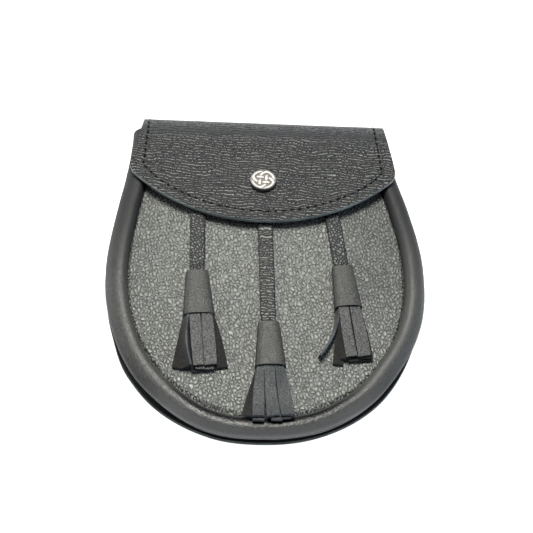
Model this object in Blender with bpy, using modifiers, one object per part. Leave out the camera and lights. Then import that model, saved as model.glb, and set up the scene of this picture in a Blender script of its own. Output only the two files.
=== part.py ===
"""A black leather sporran pouch, lying on its back.

X runs across the pouch, +Y to its top, +Z out of its front. The origin is below the middle of the
whole pouch, on the surface it lies on.
"""
import bpy
import bmesh
from bisect import bisect_left
from math import atan2, cos, pi, radians, sin, sqrt
from mathutils import Matrix, Vector

MM = 0.001
GAP = 0.3 * MM                      # clearance between two pieces that touch

# ---- driving dimensions -------------------------------------------------------------------------
LENGTH = 216.7 * MM                 # from the roll's lowest point to the fold of the flap
WIDTH = 180.0 * MM                  # over the roll, at the widest line
BOTTOM_Y = -LENGTH / 2
FOLD_Y = LENGTH / 2
WIDEST_Y = -6.0 * MM                # the roll is widest here
TAPER_LEFT = 11.5 * MM              # how much narrower the left side gets towards the top
TAPER_LEFT_LENGTH = 110.0 * MM      # over this length above the widest line
TAPER_RIGHT = 19.0 * MM             # the right side leans in more
TAPER_RIGHT_LENGTH = 130.0 * MM
OUTLINE_POWER = 2.08                # the lower half is a superellipse, a little fuller than an ellipse

BACK_THICKNESS = 2.7 * MM
BACK_INSET = 0.6 * MM               # the back's raw edge lies this far inside the roll's outer edge
BACK_TOP_Y = 96.0 * MM
LAP_LENGTH = 11.0 * MM              # the back is skived here, to take the flap's tail below it

ROLL_WIDTH_LEFT = 12.2 * MM
ROLL_WIDTH_RIGHT = 10.8 * MM
ROLL_HEIGHT_BOTTOM = 11.0 * MM
ROLL_HEIGHT_TOP = 13.6 * MM
ROLL_END_Y = 104.2 * MM
ROLL_END_ROUND = 4.0 * MM           # the end's corners are rounded over this length

PANEL_THICKNESS = 2.0 * MM
PANEL_DROP = 4.0 * MM               # the front's rim lies this far below the roll's crest
PANEL_DOME = 1.0 * MM               # and its middle this much higher than its rim
PANEL_TOP_Y = 91.0 * MM

FLAP_LAYER = 1.2 * MM               # one layer of the flap's leather
FLAP_EDGE_Y = 29.8 * MM             # lower edge of the flap, on the middle line
FLAP_HALF_WIDTH = 79.2 * MM
FLAP_FOLD_HALF_WIDTH = 72.8 * MM    # it is narrower over the fold
FLAP_EDGE_RADIUS = 101.0 * MM       # the lower edge is an arc of this radius
FLAP_CORNER_RADIUS = 14.0 * MM
FLAP_SAG = 0.9 * MM                 # between the two sides of the roll the flap sinks by this much
SAG_START = 30.0 * MM               # the sag grows over this length below the fold
NARROW_FROM = 47.0 * MM             # the flap starts to narrow at this distance from its lower edge
NARROW_TO = 84.0 * MM               # and has its width over the fold from here
FOLD_FRONT_Y = 89.0 * MM            # the fold's long front curve starts here
FOLD_BACK_Y = 97.0 * MM             # and its short back curve ends here
FOLD_POWER = 2.2
TAIL_Y = 85.0 * MM                  # end of the flap's outer layer on the back

BUTTON_Y = 59.8 * MM
BUTTON_RADIUS = 7.75 * MM
BUTTON_HEIGHT = 2.3 * MM
POST_RADIUS = 2.2 * MM

STRAP_WIDTH = 8.6 * MM
STRAP_THICKNESS = 2.0 * MM
STRAP_END_WIDTH = 7.2 * MM          # the strap narrows where it goes into its collar
STRAP_INSIDE = 7.0 * MM             # it goes this far into the collar
STRAP_CLIMB = 7.0 * MM              # and rises to the collar's middle over this length
COLLAR_WALL = 1.2 * MM
COLLAR_TOP_HEIGHT = 6.6 * MM
COLLAR_FOOT_HEIGHT = 8.4 * MM
HEAD_LENGTH = 15.0 * MM             # the fringe's head fills this much of the collar
HEAD_RECESS = 1.5 * MM              # and ends this far inside its foot
STRIP_THICKNESS = 1.2 * MM
STRIP_ROOT = 4.0 * MM               # a strip starts this far inside the collar's foot
STRIP_STRAIGHT = 8.0 * MM           # and bends away from the collar's line after this length

# ---- tassels, in millimetres ---------------------------------------------------------------------
# strap_top, collar_top and collar_foot are points on the tassel's middle line, as x, y
TASSELS = {
    "left": dict(strap_top=(-38.6, 46.0), collar_top=(-37.6, -4.4), collar_foot=(-36.4, -32.4),
                 top_width=12.8, foot_width=17.6),
    "center": dict(strap_top=(0.0, 42.0), collar_top=(2.3, -38.0), collar_foot=(3.2, -66.3),
                   top_width=12.4, foot_width=17.4),
    "right": dict(strap_top=(39.0, 46.0), collar_top=(44.0, 2.2), collar_foot=(47.4, -25.8),
                  top_width=11.6, foot_width=15.6),
}
# root_x is measured from the collar's middle line, tip is a point x, y; lift is the strip's height
# over what lies below it, at the root and at the tip, turn is its twist at the tip in degrees
# and bow its sideways curve
STRIP_COLUMNS = ("root_x", "tip", "root_width", "tip_width", "root_lift", "tip_lift", "turn", "bow")
STRIPS = {
    "left": (
        (-2.9, (-35.3, -67.1), 5.4, 5.9, 5.3, 3.7, 0, 0.0),
        (2.9, (-29.0, -66.6), 5.4, 6.6, 5.3, 3.7, 0, 0.0),
        (-3.3, (-41.2, -68.4), 4.6, 6.4, 4.3, 2.6, 32, -0.8),
        (-2.6, (-47.6, -68.9), 4.4, 5.2, 3.4, 0.9, 0, -0.6),
        (2.6, (-22.9, -66.9), 4.4, 6.2, 3.4, 1.0, 0, 0.6),
        (1.5, (-33.6, -70.7), 5.4, 7.6, 4.2, 1.6, 0, 0.0),
    ),
    "center": (
        (-3.9, (-3.0, -99.6), 3.6, 6.1, 5.2, 2.9, 0, 0.0),
        (0.0, (4.5, -99.2), 3.6, 6.9, 5.3, 2.9, 0, 0.0),
        (3.9, (12.1, -98.9), 3.6, 7.1, 5.2, 2.9, 0, 0.0),
        (-2.6, (-9.3, -100.0), 4.4, 5.6, 3.4, 1.0, 0, -0.5),
        (-2.4, (-2.6, -101.5), 5.0, 6.4, 4.2, 1.0, 0, 0.0),
        (2.4, (6.6, -101.7), 5.0, 6.2, 4.2, 1.0, 0, 0.0),
    ),
    "right": (
        (-2.4, (47.6, -59.7), 4.6, 6.6, 5.3, 3.9, 0, 0.0),
        (2.4, (54.6, -59.1), 4.6, 6.8, 5.3, 3.9, 0, 0.0),
        (-2.2, (43.1, -60.8), 4.2, 5.6, 4.3, 2.4, 0, -0.3),
        (-1.9, (39.5, -64.2), 3.8, 5.6, 3.4, 0.9, 0, -0.4),
        (-2.6, (29.8, -59.6), 2.0, 4.4, 4.2, 3.0, 68, -1.8),
        (1.6, (52.4, -62.4), 4.2, 9.0, 3.8, 1.2, 0, 0.0),
    ),
}


# ---- scene and helpers ---------------------------------------------------------------------------
for old in list(bpy.data.objects):
    bpy.data.objects.remove(old, do_unlink=True)

parts = bpy.data.collections.new("sporran_pouch")
cutters = bpy.data.collections.new("cutters")
bpy.context.scene.collection.children.link(parts)
bpy.context.scene.collection.children.link(cutters)


def material(name, color, roughness, metallic=0.0):
    mat = bpy.data.materials.new(name)
    mat.use_nodes = True
    surface = mat.node_tree.nodes["Principled BSDF"]
    surface.inputs["Base Color"].default_value = (*color, 1.0)
    surface.inputs["Roughness"].default_value = roughness
    surface.inputs["Metallic"].default_value = metallic
    return mat


def add_object(name, bm, mat, collection=parts):
    """Make an object of a bmesh, in one of the two collections."""
    mesh = bpy.data.meshes.new(name)
    bm.to_mesh(mesh)
    bm.free()
    obj = bpy.data.objects.new(name, mesh)
    collection.objects.link(obj)
    if mat:
        mesh.materials.append(mat)
    mesh.shade_smooth()
    mesh.set_sharp_from_angle(angle=radians(40))
    return obj


def cutter(name, bm):
    obj = add_object(name, bm, None, cutters)
    obj.hide_render = True
    obj.display_type = "WIRE"
    return obj


def modify(obj, kind, **values):
    change = obj.modifiers.new(kind.title(), kind)
    for key, value in values.items():
        setattr(change, key, value)
    return change


def fuse(name, pieces, mat):
    """Join closed pieces into one solid by Boolean unions, and remove the pieces."""
    first, *others = pieces
    for other in others:
        modify(first, "BOOLEAN", operation="UNION", solver="EXACT", object=other)
    graph = bpy.context.evaluated_depsgraph_get()
    mesh = bpy.data.meshes.new_from_object(first.evaluated_get(graph))
    mesh.name = name
    for piece in pieces:
        bpy.data.objects.remove(piece, do_unlink=True)
    obj = bpy.data.objects.new(name, mesh)
    parts.objects.link(obj)
    mesh.materials.clear()
    mesh.materials.append(mat)
    mesh.shade_smooth()
    mesh.set_sharp_from_angle(angle=radians(40))
    return obj


def loft(rings):
    """A closed solid through rings of points, with a flat cap at each end."""
    bm = bmesh.new()
    loops = [[bm.verts.new(point) for point in ring] for ring in rings]
    count = len(loops[0])
    for lower, upper in zip(loops, loops[1:]):
        for i in range(count):
            j = (i + 1) % count
            bm.faces.new((lower[i], lower[j], upper[j], upper[i]))
    bm.faces.new(loops[0][::-1])
    bm.faces.new(loops[-1])
    bmesh.ops.recalc_face_normals(bm, faces=bm.faces)
    return bm


def turned(name, profile, mat, steps=28):
    """A solid turned about Z from a profile of (radius, height), top to bottom at +X."""
    bm = bmesh.new()
    verts = [bm.verts.new((radius, 0, height)) for radius, height in profile]
    for a, b in zip(verts, verts[1:]):
        bm.edges.new((a, b))
    obj = add_object(name, bm, mat)
    modify(obj, "SCREW", steps=steps, render_steps=steps, use_merge_vertices=True,
           merge_threshold=0.00001)
    return obj


def lerp(a, b, t):
    return a + (b - a) * t


def smooth(t):
    t = min(max(t, 0.0), 1.0)
    return t * t * (3 - 2 * t)


def point_mm(pair):
    return Vector((pair[0] * MM, pair[1] * MM))


black_smooth = material("black_smooth_leather", (0.035, 0.036, 0.036), 0.38)
black_grained = material("black_grained_leather", (0.030, 0.031, 0.032), 0.42)
black_pebbled = material("black_pebbled_leather", (0.060, 0.063, 0.060), 0.40)
black_suede = material("black_leather_strips", (0.040, 0.041, 0.043), 0.60)
raw_leather = material("raw_leather", (0.070, 0.080, 0.085), 0.80)
silver = material("silver_metal", (0.72, 0.72, 0.72), 0.28, 1.0)


# ---- the pouch's outline ---------------------------------------------------------------------------
MEAN_ROLL_WIDTH = (ROLL_WIDTH_LEFT + ROLL_WIDTH_RIGHT) / 2
LOWER_HEIGHT = WIDEST_Y - BOTTOM_Y


def half_width(y, side):
    """Distance from the middle line to the roll's outer edge, above the widest line."""
    taper, length = ((TAPER_LEFT, TAPER_LEFT_LENGTH) if side < 0
                     else (TAPER_RIGHT, TAPER_RIGHT_LENGTH))
    t = min(max((y - WIDEST_Y) / length, 0.0), 1.0)
    return WIDTH / 2 - taper * (1 - cos(pi * t)) / 2


def outline_point(t):
    """A point of the outer outline: t runs from 0, top left, to 3, top right; 1 to 2 is the bottom."""
    if 1.0 <= t <= 2.0:
        angle = pi * t
        power = 2 / OUTLINE_POWER
        x = abs(cos(angle)) ** power * WIDTH / 2
        y = WIDEST_Y - abs(sin(angle)) ** power * LOWER_HEIGHT
        return Vector((x if t > 1.5 else -x, y))
    side = 1 if t > 2.0 else -1
    y = lerp(WIDEST_Y, ROLL_END_Y, t - 2.0 if side > 0 else 1.0 - t)
    return Vector((side * half_width(y, side), y))


def outward(t):
    """The outline's outward normal at t."""
    step = 0.004
    along = outline_point(min(t + step, 3.0)) - outline_point(max(t - step, 0.0))
    return Vector((along.y, -along.x)).normalized()


def inset_point(t, inset):
    return outline_point(t) - outward(t) * inset


def roll_width(x):
    return lerp(ROLL_WIDTH_LEFT, ROLL_WIDTH_RIGHT, 0.5 + x / WIDTH)


def roll_height(y):
    return lerp(ROLL_HEIGHT_BOTTOM, ROLL_HEIGHT_TOP, (y - BOTTOM_Y) / LENGTH)


ROLL_BASE = BACK_THICKNESS + GAP


def crest(y):
    """Height of the roll's crest."""
    return ROLL_BASE + roll_height(y)


SIDE_STEPS = 11
BOTTOM_STEPS = 30
OUTLINE_STEPS = ([i / SIDE_STEPS for i in range(SIDE_STEPS)]
                 + [1 + i / BOTTOM_STEPS for i in range(BOTTOM_STEPS)]
                 + [2 + i / SIDE_STEPS for i in range(SIDE_STEPS + 1)])


# ---- the flap's side view ----------------------------------------------------------------------------
FLAP_THICKNESS = 2 * FLAP_LAYER + GAP
FOLD_TOP_Z = crest(FOLD_FRONT_Y) + GAP + FLAP_THICKNESS
FOLD_MIDDLE_Z = FOLD_TOP_Z / 2
FOLD_START = 12                     # points of the profile before the fold
QUARTER_STEPS = 24                  # and in each of the fold's two quarters
FOLD_STEP = 3                       # the flap has a row at every third of them


def quarter(angle):
    """Cosine and sine of a superellipse's quarter, from 0 to 90 degrees."""
    power = 2 / FOLD_POWER
    return cos(angle) ** power, sin(angle) ** power


def flap_profile():
    """Outer surface of the flap from its lower edge over the fold to its tail: points y, z."""
    points = []
    for i in range(FOLD_START):
        y = lerp(FLAP_EDGE_Y, FOLD_FRONT_Y, i / FOLD_START)
        points.append(Vector((y, crest(y) + GAP + FLAP_THICKNESS)))
    for i in range(QUARTER_STEPS + 1):
        run, rise = quarter(pi / 2 * (1 - i / QUARTER_STEPS))
        points.append(Vector((lerp(FOLD_FRONT_Y, FOLD_Y, run), FOLD_MIDDLE_Z * (1 + rise))))
    for i in range(1, QUARTER_STEPS + 1):
        run, rise = quarter(pi / 2 * i / QUARTER_STEPS)
        points.append(Vector((lerp(FOLD_BACK_Y, FOLD_Y, run), FOLD_MIDDLE_Z * (1 - rise))))
    points.append(Vector((TAIL_Y, 0.0)))
    return points


PROFILE = flap_profile()
PROFILE_LENGTHS = [0.0]
for here, there in zip(PROFILE, PROFILE[1:]):
    PROFILE_LENGTHS.append(PROFILE_LENGTHS[-1] + (there - here).length)
FLAP_LENGTH = PROFILE_LENGTHS[-1]


def profile_point(distance):
    """The point at a distance along the flap's profile."""
    i = min(max(bisect_left(PROFILE_LENGTHS, distance), 1), len(PROFILE) - 1)
    start, end = PROFILE_LENGTHS[i - 1], PROFILE_LENGTHS[i]
    return PROFILE[i - 1].lerp(PROFILE[i], (distance - start) / (end - start))


def profile_at(distance, depth):
    """The point y, z at a depth below the flap's outer surface, by the profile's normal."""
    step = 0.4 * MM
    along = profile_point(min(distance + step, FLAP_LENGTH)) - profile_point(max(distance - step, 0.0))
    inward = Vector((along.y, -along.x)).normalized()
    return profile_point(distance) + inward * depth


def flap_lower_edge(x):
    """Distance along the flap of its lower edge at x, from that on the middle line."""
    side = abs(x)
    corner_x = FLAP_HALF_WIDTH - FLAP_CORNER_RADIUS
    reach = FLAP_EDGE_RADIUS - FLAP_CORNER_RADIUS
    corner_drop = sqrt(reach ** 2 - corner_x ** 2)
    if side < corner_x * FLAP_EDGE_RADIUS / reach:
        return FLAP_EDGE_RADIUS - sqrt(FLAP_EDGE_RADIUS ** 2 - side ** 2)
    fall = sqrt(max(FLAP_CORNER_RADIUS ** 2 - (side - corner_x) ** 2, 0.0))
    return FLAP_EDGE_RADIUS - corner_drop - fall


def sag_at(y):
    """How far the flap sinks on its middle line."""
    return FLAP_SAG * smooth((FOLD_FRONT_Y - y) / SAG_START)


def flap_half_width(distance):
    t = smooth((distance - NARROW_FROM) / (NARROW_TO - NARROW_FROM))
    return lerp(FLAP_HALF_WIDTH, FLAP_FOLD_HALF_WIDTH, t)


def flap_columns():
    """Places across the flap, from -1 to 1, closer together at its rounded corners."""
    corner_x = FLAP_HALF_WIDTH - FLAP_CORNER_RADIUS
    arc_end = corner_x * FLAP_EDGE_RADIUS / (FLAP_EDGE_RADIUS - FLAP_CORNER_RADIUS)
    straight = [arc_end * i / 6 for i in range(7)]
    start = atan2(sqrt(FLAP_CORNER_RADIUS ** 2 - (arc_end - corner_x) ** 2), arc_end - corner_x)
    corner = [corner_x + FLAP_CORNER_RADIUS * cos(start * (1 - i / 4)) for i in range(1, 5)]
    right = [x / FLAP_HALF_WIDTH for x in straight + corner]
    return [-u for u in right[:0:-1]] + right


# ---- modelling: the pouch ---------------------------------------------------------------------------
def back_panel():
    """A flat outline, thick as the back, skived along its top to take the flap's tail."""
    curve = bpy.data.curves.new("back_outline", "CURVE")
    curve.dimensions = "2D"
    curve.fill_mode = "BOTH"
    curve.extrude = BACK_THICKNESS / 2
    points = [inset_point(t, BACK_INSET) for t in OUTLINE_STEPS]
    points = [p for p in points if p.y < BACK_TOP_Y]
    for side in (-1, 1):
        corner = Vector((side * (half_width(BACK_TOP_Y, side) - BACK_INSET), BACK_TOP_Y))
        points.insert(0 if side < 0 else len(points), corner)
    spline = curve.splines.new("POLY")
    spline.points.add(len(points) - 1)
    for item, point in zip(spline.points, points):
        item.co = (*point, 0, 1)
    spline.use_cyclic_u = True
    outline = bpy.data.objects.new("back_outline", curve)
    parts.objects.link(outline)
    graph = bpy.context.evaluated_depsgraph_get()
    mesh = bpy.data.meshes.new_from_object(outline.evaluated_get(graph))
    bpy.data.objects.remove(outline, do_unlink=True)
    bm = bmesh.new()
    bm.from_mesh(mesh)
    bpy.data.meshes.remove(mesh)
    bmesh.ops.remove_doubles(bm, verts=bm.verts, dist=0.01 * MM)
    bmesh.ops.translate(bm, verts=bm.verts, vec=(0, 0, BACK_THICKNESS / 2))
    bmesh.ops.recalc_face_normals(bm, faces=bm.faces)
    obj = add_object("back_panel", bm, raw_leather)

    skive = bmesh.new()
    bmesh.ops.create_cube(skive, size=1.0)
    depth = FLAP_LAYER + GAP
    bmesh.ops.scale(skive, verts=skive.verts, vec=(WIDTH, 2 * (LAP_LENGTH + GAP), 2 * depth))
    bmesh.ops.translate(skive, verts=skive.verts, vec=(0, BACK_TOP_Y, 0))
    modify(obj, "BOOLEAN", operation="DIFFERENCE", solver="EXACT", object=cutter("back_skive", skive))
    return obj


def fold_room(y):
    """Half the clear height inside the fold at y, from the fold's middle height."""
    room = FOLD_MIDDLE_Z - FLAP_THICKNESS - GAP
    t = (y - FOLD_FRONT_Y) / (FOLD_Y - FOLD_FRONT_Y - FLAP_THICKNESS)
    if t <= 0:
        return room
    return room * max(1 - t ** FOLD_POWER, 0.0) ** (1 / FOLD_POWER)


def edge_roll():
    """The padded roll: oval rings along the outline, with rounded ends under the flap's fold."""
    sides = 14
    rings = []
    end_share = ROLL_END_ROUND / (ROLL_END_Y - WIDEST_Y)
    fine = [end_share * (1 - cos(pi / 2 * i / 4)) for i in range(5)]
    steps = fine + [t for t in OUTLINE_STEPS if end_share < t < 3 - end_share] + [3 - t for t in fine[::-1]]
    for t in steps:
        outer = outline_point(t)
        normal = outward(t)
        half = roll_width(outer.x) / 2
        height = roll_height(outer.y) / 2
        middle = outer - normal * half
        middle_z = ROLL_BASE + height
        height = min(height, fold_room(outer.y))
        rounding = (outer.y - (ROLL_END_Y - ROLL_END_ROUND)) / ROLL_END_ROUND
        if rounding > 0:
            half *= max(sqrt(max(1 - rounding ** 2, 0.0)), 0.35)
            height *= max(sqrt(max(1 - 0.6 * rounding ** 2, 0.0)), 0.35)
        ring = []
        for k in range(sides):
            angle = 2 * pi * k / sides
            flat = middle + normal * (half * cos(angle))
            ring.append((flat.x, flat.y, middle_z + height * sin(angle)))
        rings.append(ring)
    return add_object("edge_roll", loft(rings), black_smooth)


def panel_height(x, y):
    """Height of the front panel's outer face."""
    rim = crest(y) - PANEL_DROP
    across = abs(x) / (WIDTH / 2 - MEAN_ROLL_WIDTH)
    along = (y - WIDEST_Y) / (WIDEST_Y - BOTTOM_Y - MEAN_ROLL_WIDTH)
    return rim + PANEL_DOME * max(1 - across ** 2 - along ** 2 * 0.8, 0.0)


def front_panel():
    """A domed sheet inside the roll, open at the top where the pouch's mouth is."""
    columns = 20
    rows = 10
    low = []
    for i in range(columns + 1):
        t = 1 + i / columns
        inset = roll_width(outline_point(t).x) + GAP
        low.append(inset_point(t, inset))
    left, right = low[0].x, low[-1].x
    bm = bmesh.new()
    bmesh.ops.create_grid(bm, x_segments=columns, y_segments=rows, size=1.0)
    for vert in bm.verts:
        i = round((vert.co.x + 1) / 2 * columns)
        v = (vert.co.y + 1) / 2
        y = lerp(low[i].y, PANEL_TOP_Y, v)
        side = -1 if low[i].x < 0 else 1
        widest = left if side < 0 else right
        edge = widest - side * (WIDTH / 2 - half_width(y, side))
        x = low[i].x * edge / widest
        vert.co = (x, y, panel_height(x, y))
    obj = add_object("front_panel", bm, black_pebbled)
    modify(obj, "SOLIDIFY", thickness=PANEL_THICKNESS, offset=-1, use_even_offset=True)
    return obj


def flap_sheet(name, depth, inset, end_y, mat):
    """One layer of the flap: a flat sheet laid along the profile, at a depth below its outer face."""
    columns = flap_columns()
    lower_rows = 5
    meet = 50 * MM                     # above this distance the rows run straight across
    end = FLAP_LENGTH - (end_y - TAIL_Y)
    upper = [PROFILE_LENGTHS[i] for i in range(FOLD_START, len(PROFILE), FOLD_STEP)]
    upper = [meet] + [distance for distance in upper if distance < end - 1 * MM] + [end]
    rows = lower_rows + len(upper) - 1
    bm = bmesh.new()
    bmesh.ops.create_grid(bm, x_segments=len(columns) - 1, y_segments=rows, size=1.0)
    for vert in bm.verts:
        column = round((vert.co.x + 1) / 2 * (len(columns) - 1))
        row = round((vert.co.y + 1) / 2 * rows)
        u = columns[column]
        start = flap_lower_edge(u * FLAP_HALF_WIDTH) + inset
        if row < lower_rows:
            distance = lerp(start, meet, row / lower_rows)
        else:
            distance = upper[row - lower_rows]
        x = u * (flap_half_width(distance) - inset)
        y, z = profile_at(distance, depth)
        sag = sag_at(y) * (1 - (x / FLAP_HALF_WIDTH) ** 2) if z > FOLD_MIDDLE_Z else 0.0
        vert.co = (x, y, z - sag)
    obj = add_object(name, bm, mat)
    modify(obj, "SOLIDIFY", thickness=FLAP_LAYER, offset=-1, use_even_offset=True)
    hole = bmesh.new()
    bmesh.ops.create_cone(hole, cap_ends=True, segments=20, radius1=POST_RADIUS + GAP,
                          radius2=POST_RADIUS + GAP, depth=10 * MM)
    bmesh.ops.translate(hole, verts=hole.verts, vec=(0, BUTTON_Y, FOLD_TOP_Z))
    modify(obj, "BOOLEAN", operation="DIFFERENCE", solver="EXACT", object=cutter(name + "_hole", hole))
    return obj


# ---- modelling: the snap ------------------------------------------------------------------------------
def flap_face(y):
    """Height of the flap's outer face on the middle line."""
    return crest(y) + GAP + FLAP_THICKNESS - sag_at(y)


def rod(name, start, end, radius):
    """A closed round bar between two points."""
    direction = Vector(end) - Vector(start)
    bm = bmesh.new()
    bmesh.ops.create_cone(bm, cap_ends=True, segments=8, radius1=radius, radius2=radius,
                          depth=direction.length)
    turn = direction.to_track_quat("Z", "Y").to_matrix().to_4x4()
    bmesh.ops.transform(bm, verts=bm.verts,
                        matrix=Matrix.Translation((Vector(start) + Vector(end)) / 2) @ turn)
    return add_object(name, bm, silver)


def snap_button():
    """The cap with its rim and raised knot, the post through the flap and the socket under it."""
    face = flap_face(BUTTON_Y)
    seat = face + GAP
    under = face - FLAP_THICKNESS
    socket_top = under - GAP
    socket_low = panel_height(0, BUTTON_Y) + GAP + 0.9 * MM + GAP
    bore = 1.7 * MM
    r = BUTTON_RADIUS
    floor_z = seat + BUTTON_HEIGHT - 0.75 * MM
    cap = turned("cap", [
        (0, floor_z + 0.15 * MM), (r * 0.45, floor_z + 0.1 * MM), (r * 0.82, floor_z),
        (r * 0.86, seat + BUTTON_HEIGHT - 0.15 * MM), (r * 0.93, seat + BUTTON_HEIGHT),
        (r, seat + BUTTON_HEIGHT - 0.5 * MM), (r, seat + 0.5 * MM), (r * 0.95, seat),
        (POST_RADIUS, seat), (POST_RADIUS, socket_top), (5.0 * MM, socket_top),
        (5.0 * MM, socket_low), (bore, socket_low), (bore, socket_top + 0.2 * MM),
        (0, socket_top + 0.2 * MM),
    ], silver)
    bar = 0.62 * MM
    spread = r * 0.26
    reach = r * 0.84
    level = floor_z + 0.25 * MM
    pieces = [cap]
    for side in (-1, 1):
        end = sqrt(reach ** 2 - spread ** 2)
        pieces.append(rod("bar", (-end, side * spread, level), (end, side * spread, level), bar))
        pieces.append(rod("bar", (side * spread, -end, level + 0.1 * MM),
                          (side * spread, end, level + 0.1 * MM), bar))
    button = fuse("snap_button", pieces, silver)
    button.location = (0, BUTTON_Y, 0)
    return button


def snap_stud():
    """A flange with a small round stud, seated on the front panel below the socket."""
    base = panel_height(0, BUTTON_Y) + GAP
    under = flap_face(BUTTON_Y) - FLAP_THICKNESS
    stud = turned("snap_stud", [
        (0, under - GAP), (1.1 * MM, under - GAP), (1.35 * MM, under - 0.6 * MM),
        (1.35 * MM, base + 0.9 * MM), (4.6 * MM, base + 0.9 * MM), (4.6 * MM, base), (0, base),
    ], silver, steps=20)
    stud.location = (0, BUTTON_Y, 0)
    return stud


# ---- modelling: the tassels -----------------------------------------------------------------------------
def support_height(x, y):
    """What a strip lies on at a point: the front panel, or the roll beyond it."""
    middle_y = BOTTOM_Y + MEAN_ROLL_WIDTH / 2 + x * x / WIDTH * 0.9
    across = (y - middle_y) / (MEAN_ROLL_WIDTH / 2)
    if abs(across) >= 1:
        return panel_height(x, y)
    half = roll_height(y) / 2
    return max(panel_height(x, y), ROLL_BASE + half + half * sqrt(1 - across ** 2))


def strap(side, row):
    """A flat strap from below the flap into the top of its collar."""
    start, end = point_mm(row["strap_top"]), point_mm(row["collar_top"])
    along = (end - start).normalized()
    across = Vector((-along.y, along.x))
    length = (end - start).length + STRAP_INSIDE
    rise = (COLLAR_TOP_HEIGHT - STRAP_THICKNESS) / 2
    rows = 12
    bm = bmesh.new()
    bmesh.ops.create_grid(bm, x_segments=2, y_segments=rows, size=1.0)
    for vert in bm.verts:
        distance = length * (vert.co.y + 1) / 2
        entering = smooth((distance - (length - STRAP_INSIDE - STRAP_CLIMB)) / STRAP_CLIMB)
        half = lerp(STRAP_WIDTH, STRAP_END_WIDTH, entering) / 2
        point = start + along * distance + across * (vert.co.x * half)
        climb = rise * entering
        vert.co = (point.x, point.y, panel_height(point.x, point.y) + GAP + climb)
    obj = add_object("strap_" + side, bm, black_pebbled)
    modify(obj, "SOLIDIFY", thickness=STRAP_THICKNESS, offset=-1, use_even_offset=True)
    return obj


def collar_ring(row, t, shrink, sides=20):
    """An oval ring of the collar, t from its top to its foot, shrunk all round."""
    start, end = point_mm(row["collar_top"]), point_mm(row["collar_foot"])
    middle = start.lerp(end, t)
    along = (end - start).normalized()
    across = Vector((-along.y, along.x))
    half = lerp(row["top_width"], row["foot_width"], t) * MM / 2 - shrink
    height = lerp(COLLAR_TOP_HEIGHT, COLLAR_FOOT_HEIGHT, t) / 2
    middle_z = panel_height(middle.x, middle.y) + GAP + height
    ring = []
    for k in range(sides):
        angle = 2 * pi * k / sides
        side_x = abs(cos(angle)) ** 0.8 * (1 if cos(angle) > 0 else -1)
        flat = middle + across * (half * side_x)
        ring.append(Vector((flat.x, flat.y, middle_z + (height - shrink) * sin(angle))))
    return ring


def collar(side, row):
    """A hollow conical collar, open at both ends."""
    steps = (0.0, 0.5, 1.0)
    rings = [collar_ring(row, t, 0.0) for t in steps]
    rings += [collar_ring(row, t, COLLAR_WALL) for t in steps[::-1]]
    bm = bmesh.new()
    loops = [[bm.verts.new(point) for point in ring] for ring in rings]
    count = len(loops[0])
    for lower, upper in zip(loops, loops[1:] + loops[:1]):
        for i in range(count):
            j = (i + 1) % count
            bm.faces.new((lower[i], lower[j], upper[j], upper[i]))
    bmesh.ops.recalc_face_normals(bm, faces=bm.faces)
    return add_object("collar_" + side, bm, black_smooth)


def strip(row, strip_row):
    """One leather strip of a fringe, from inside the head to its tip."""
    values = dict(zip(STRIP_COLUMNS, strip_row))
    top, foot = point_mm(row["collar_top"]), point_mm(row["collar_foot"])
    along = (foot - top).normalized()
    across = Vector((-along.y, along.x))
    root = foot - along * STRIP_ROOT + across * (values["root_x"] * MM)
    bend = root + along * STRIP_STRAIGHT
    tip = point_mm(values["tip"])
    root_z = panel_height(root.x, root.y) + values["root_lift"] * MM
    tip_z = support_height(tip.x, tip.y) + values["tip_lift"] * MM
    direction = (tip - root).normalized()
    sideways = Vector((-direction.y, direction.x))
    half_thick = STRIP_THICKNESS / 2
    steps = 7
    rings = []
    for i in range(steps + 1):
        t = i / steps
        outside = smooth((t - 0.25) / 0.6)
        middle = root.lerp(bend, t).lerp(bend.lerp(tip, t), t)
        middle += sideways * (values["bow"] * MM * sin(pi * t) * outside)
        z = lerp(root_z, tip_z, smooth((t - 0.15) / 0.85))
        turn = radians(values["turn"]) * outside
        half = lerp(values["root_width"], values["tip_width"], outside) * MM / 2
        ring = []
        for a, b in ((-1, -1), (1, -1), (1, 1), (-1, 1)):
            flat = a * half * cos(turn) - b * half_thick * sin(turn)
            high = a * half * sin(turn) + b * half_thick * cos(turn)
            point = middle + sideways * flat
            ring.append((point.x, point.y, z + high))
        rings.append(ring)
    return add_object("strip", loft(rings), black_suede)


def fringe(side, row):
    """The strips of one tassel, fused to a head that fills the collar's foot."""
    length = (point_mm(row["collar_foot"]) - point_mm(row["collar_top"])).length
    low = 1 - HEAD_RECESS / length
    high = low - HEAD_LENGTH / length
    head = loft([collar_ring(row, t, COLLAR_WALL + GAP) for t in (high, low)])
    pieces = [add_object("head", head, black_suede)]
    pieces += [strip(row, strip_row) for strip_row in STRIPS[side]]
    return fuse("fringe_" + side, pieces, black_suede)


# ---- the whole pouch -----------------------------------------------------------------------------------
back_panel()
edge_roll()
front_panel()
flap_sheet("flap", 0.0, 0.0, TAIL_Y, black_grained)
flap_sheet("flap_lining", FLAP_LAYER + GAP, 0.2 * MM, BACK_TOP_Y + GAP, raw_leather)
snap_button()
snap_stud()
for tassel_side, tassel_row in TASSELS.items():
    strap(tassel_side, tassel_row)
    collar(tassel_side, tassel_row)
    fringe(tassel_side, tassel_row)
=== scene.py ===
"""The looks of a black leather sporran pouch that lies on its back."""
from itertools import accumulate
from math import ceil, cos, pi, radians, sin, sqrt

import bmesh
import bpy
from mathutils import Matrix, Vector, kdtree, noise


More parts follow.
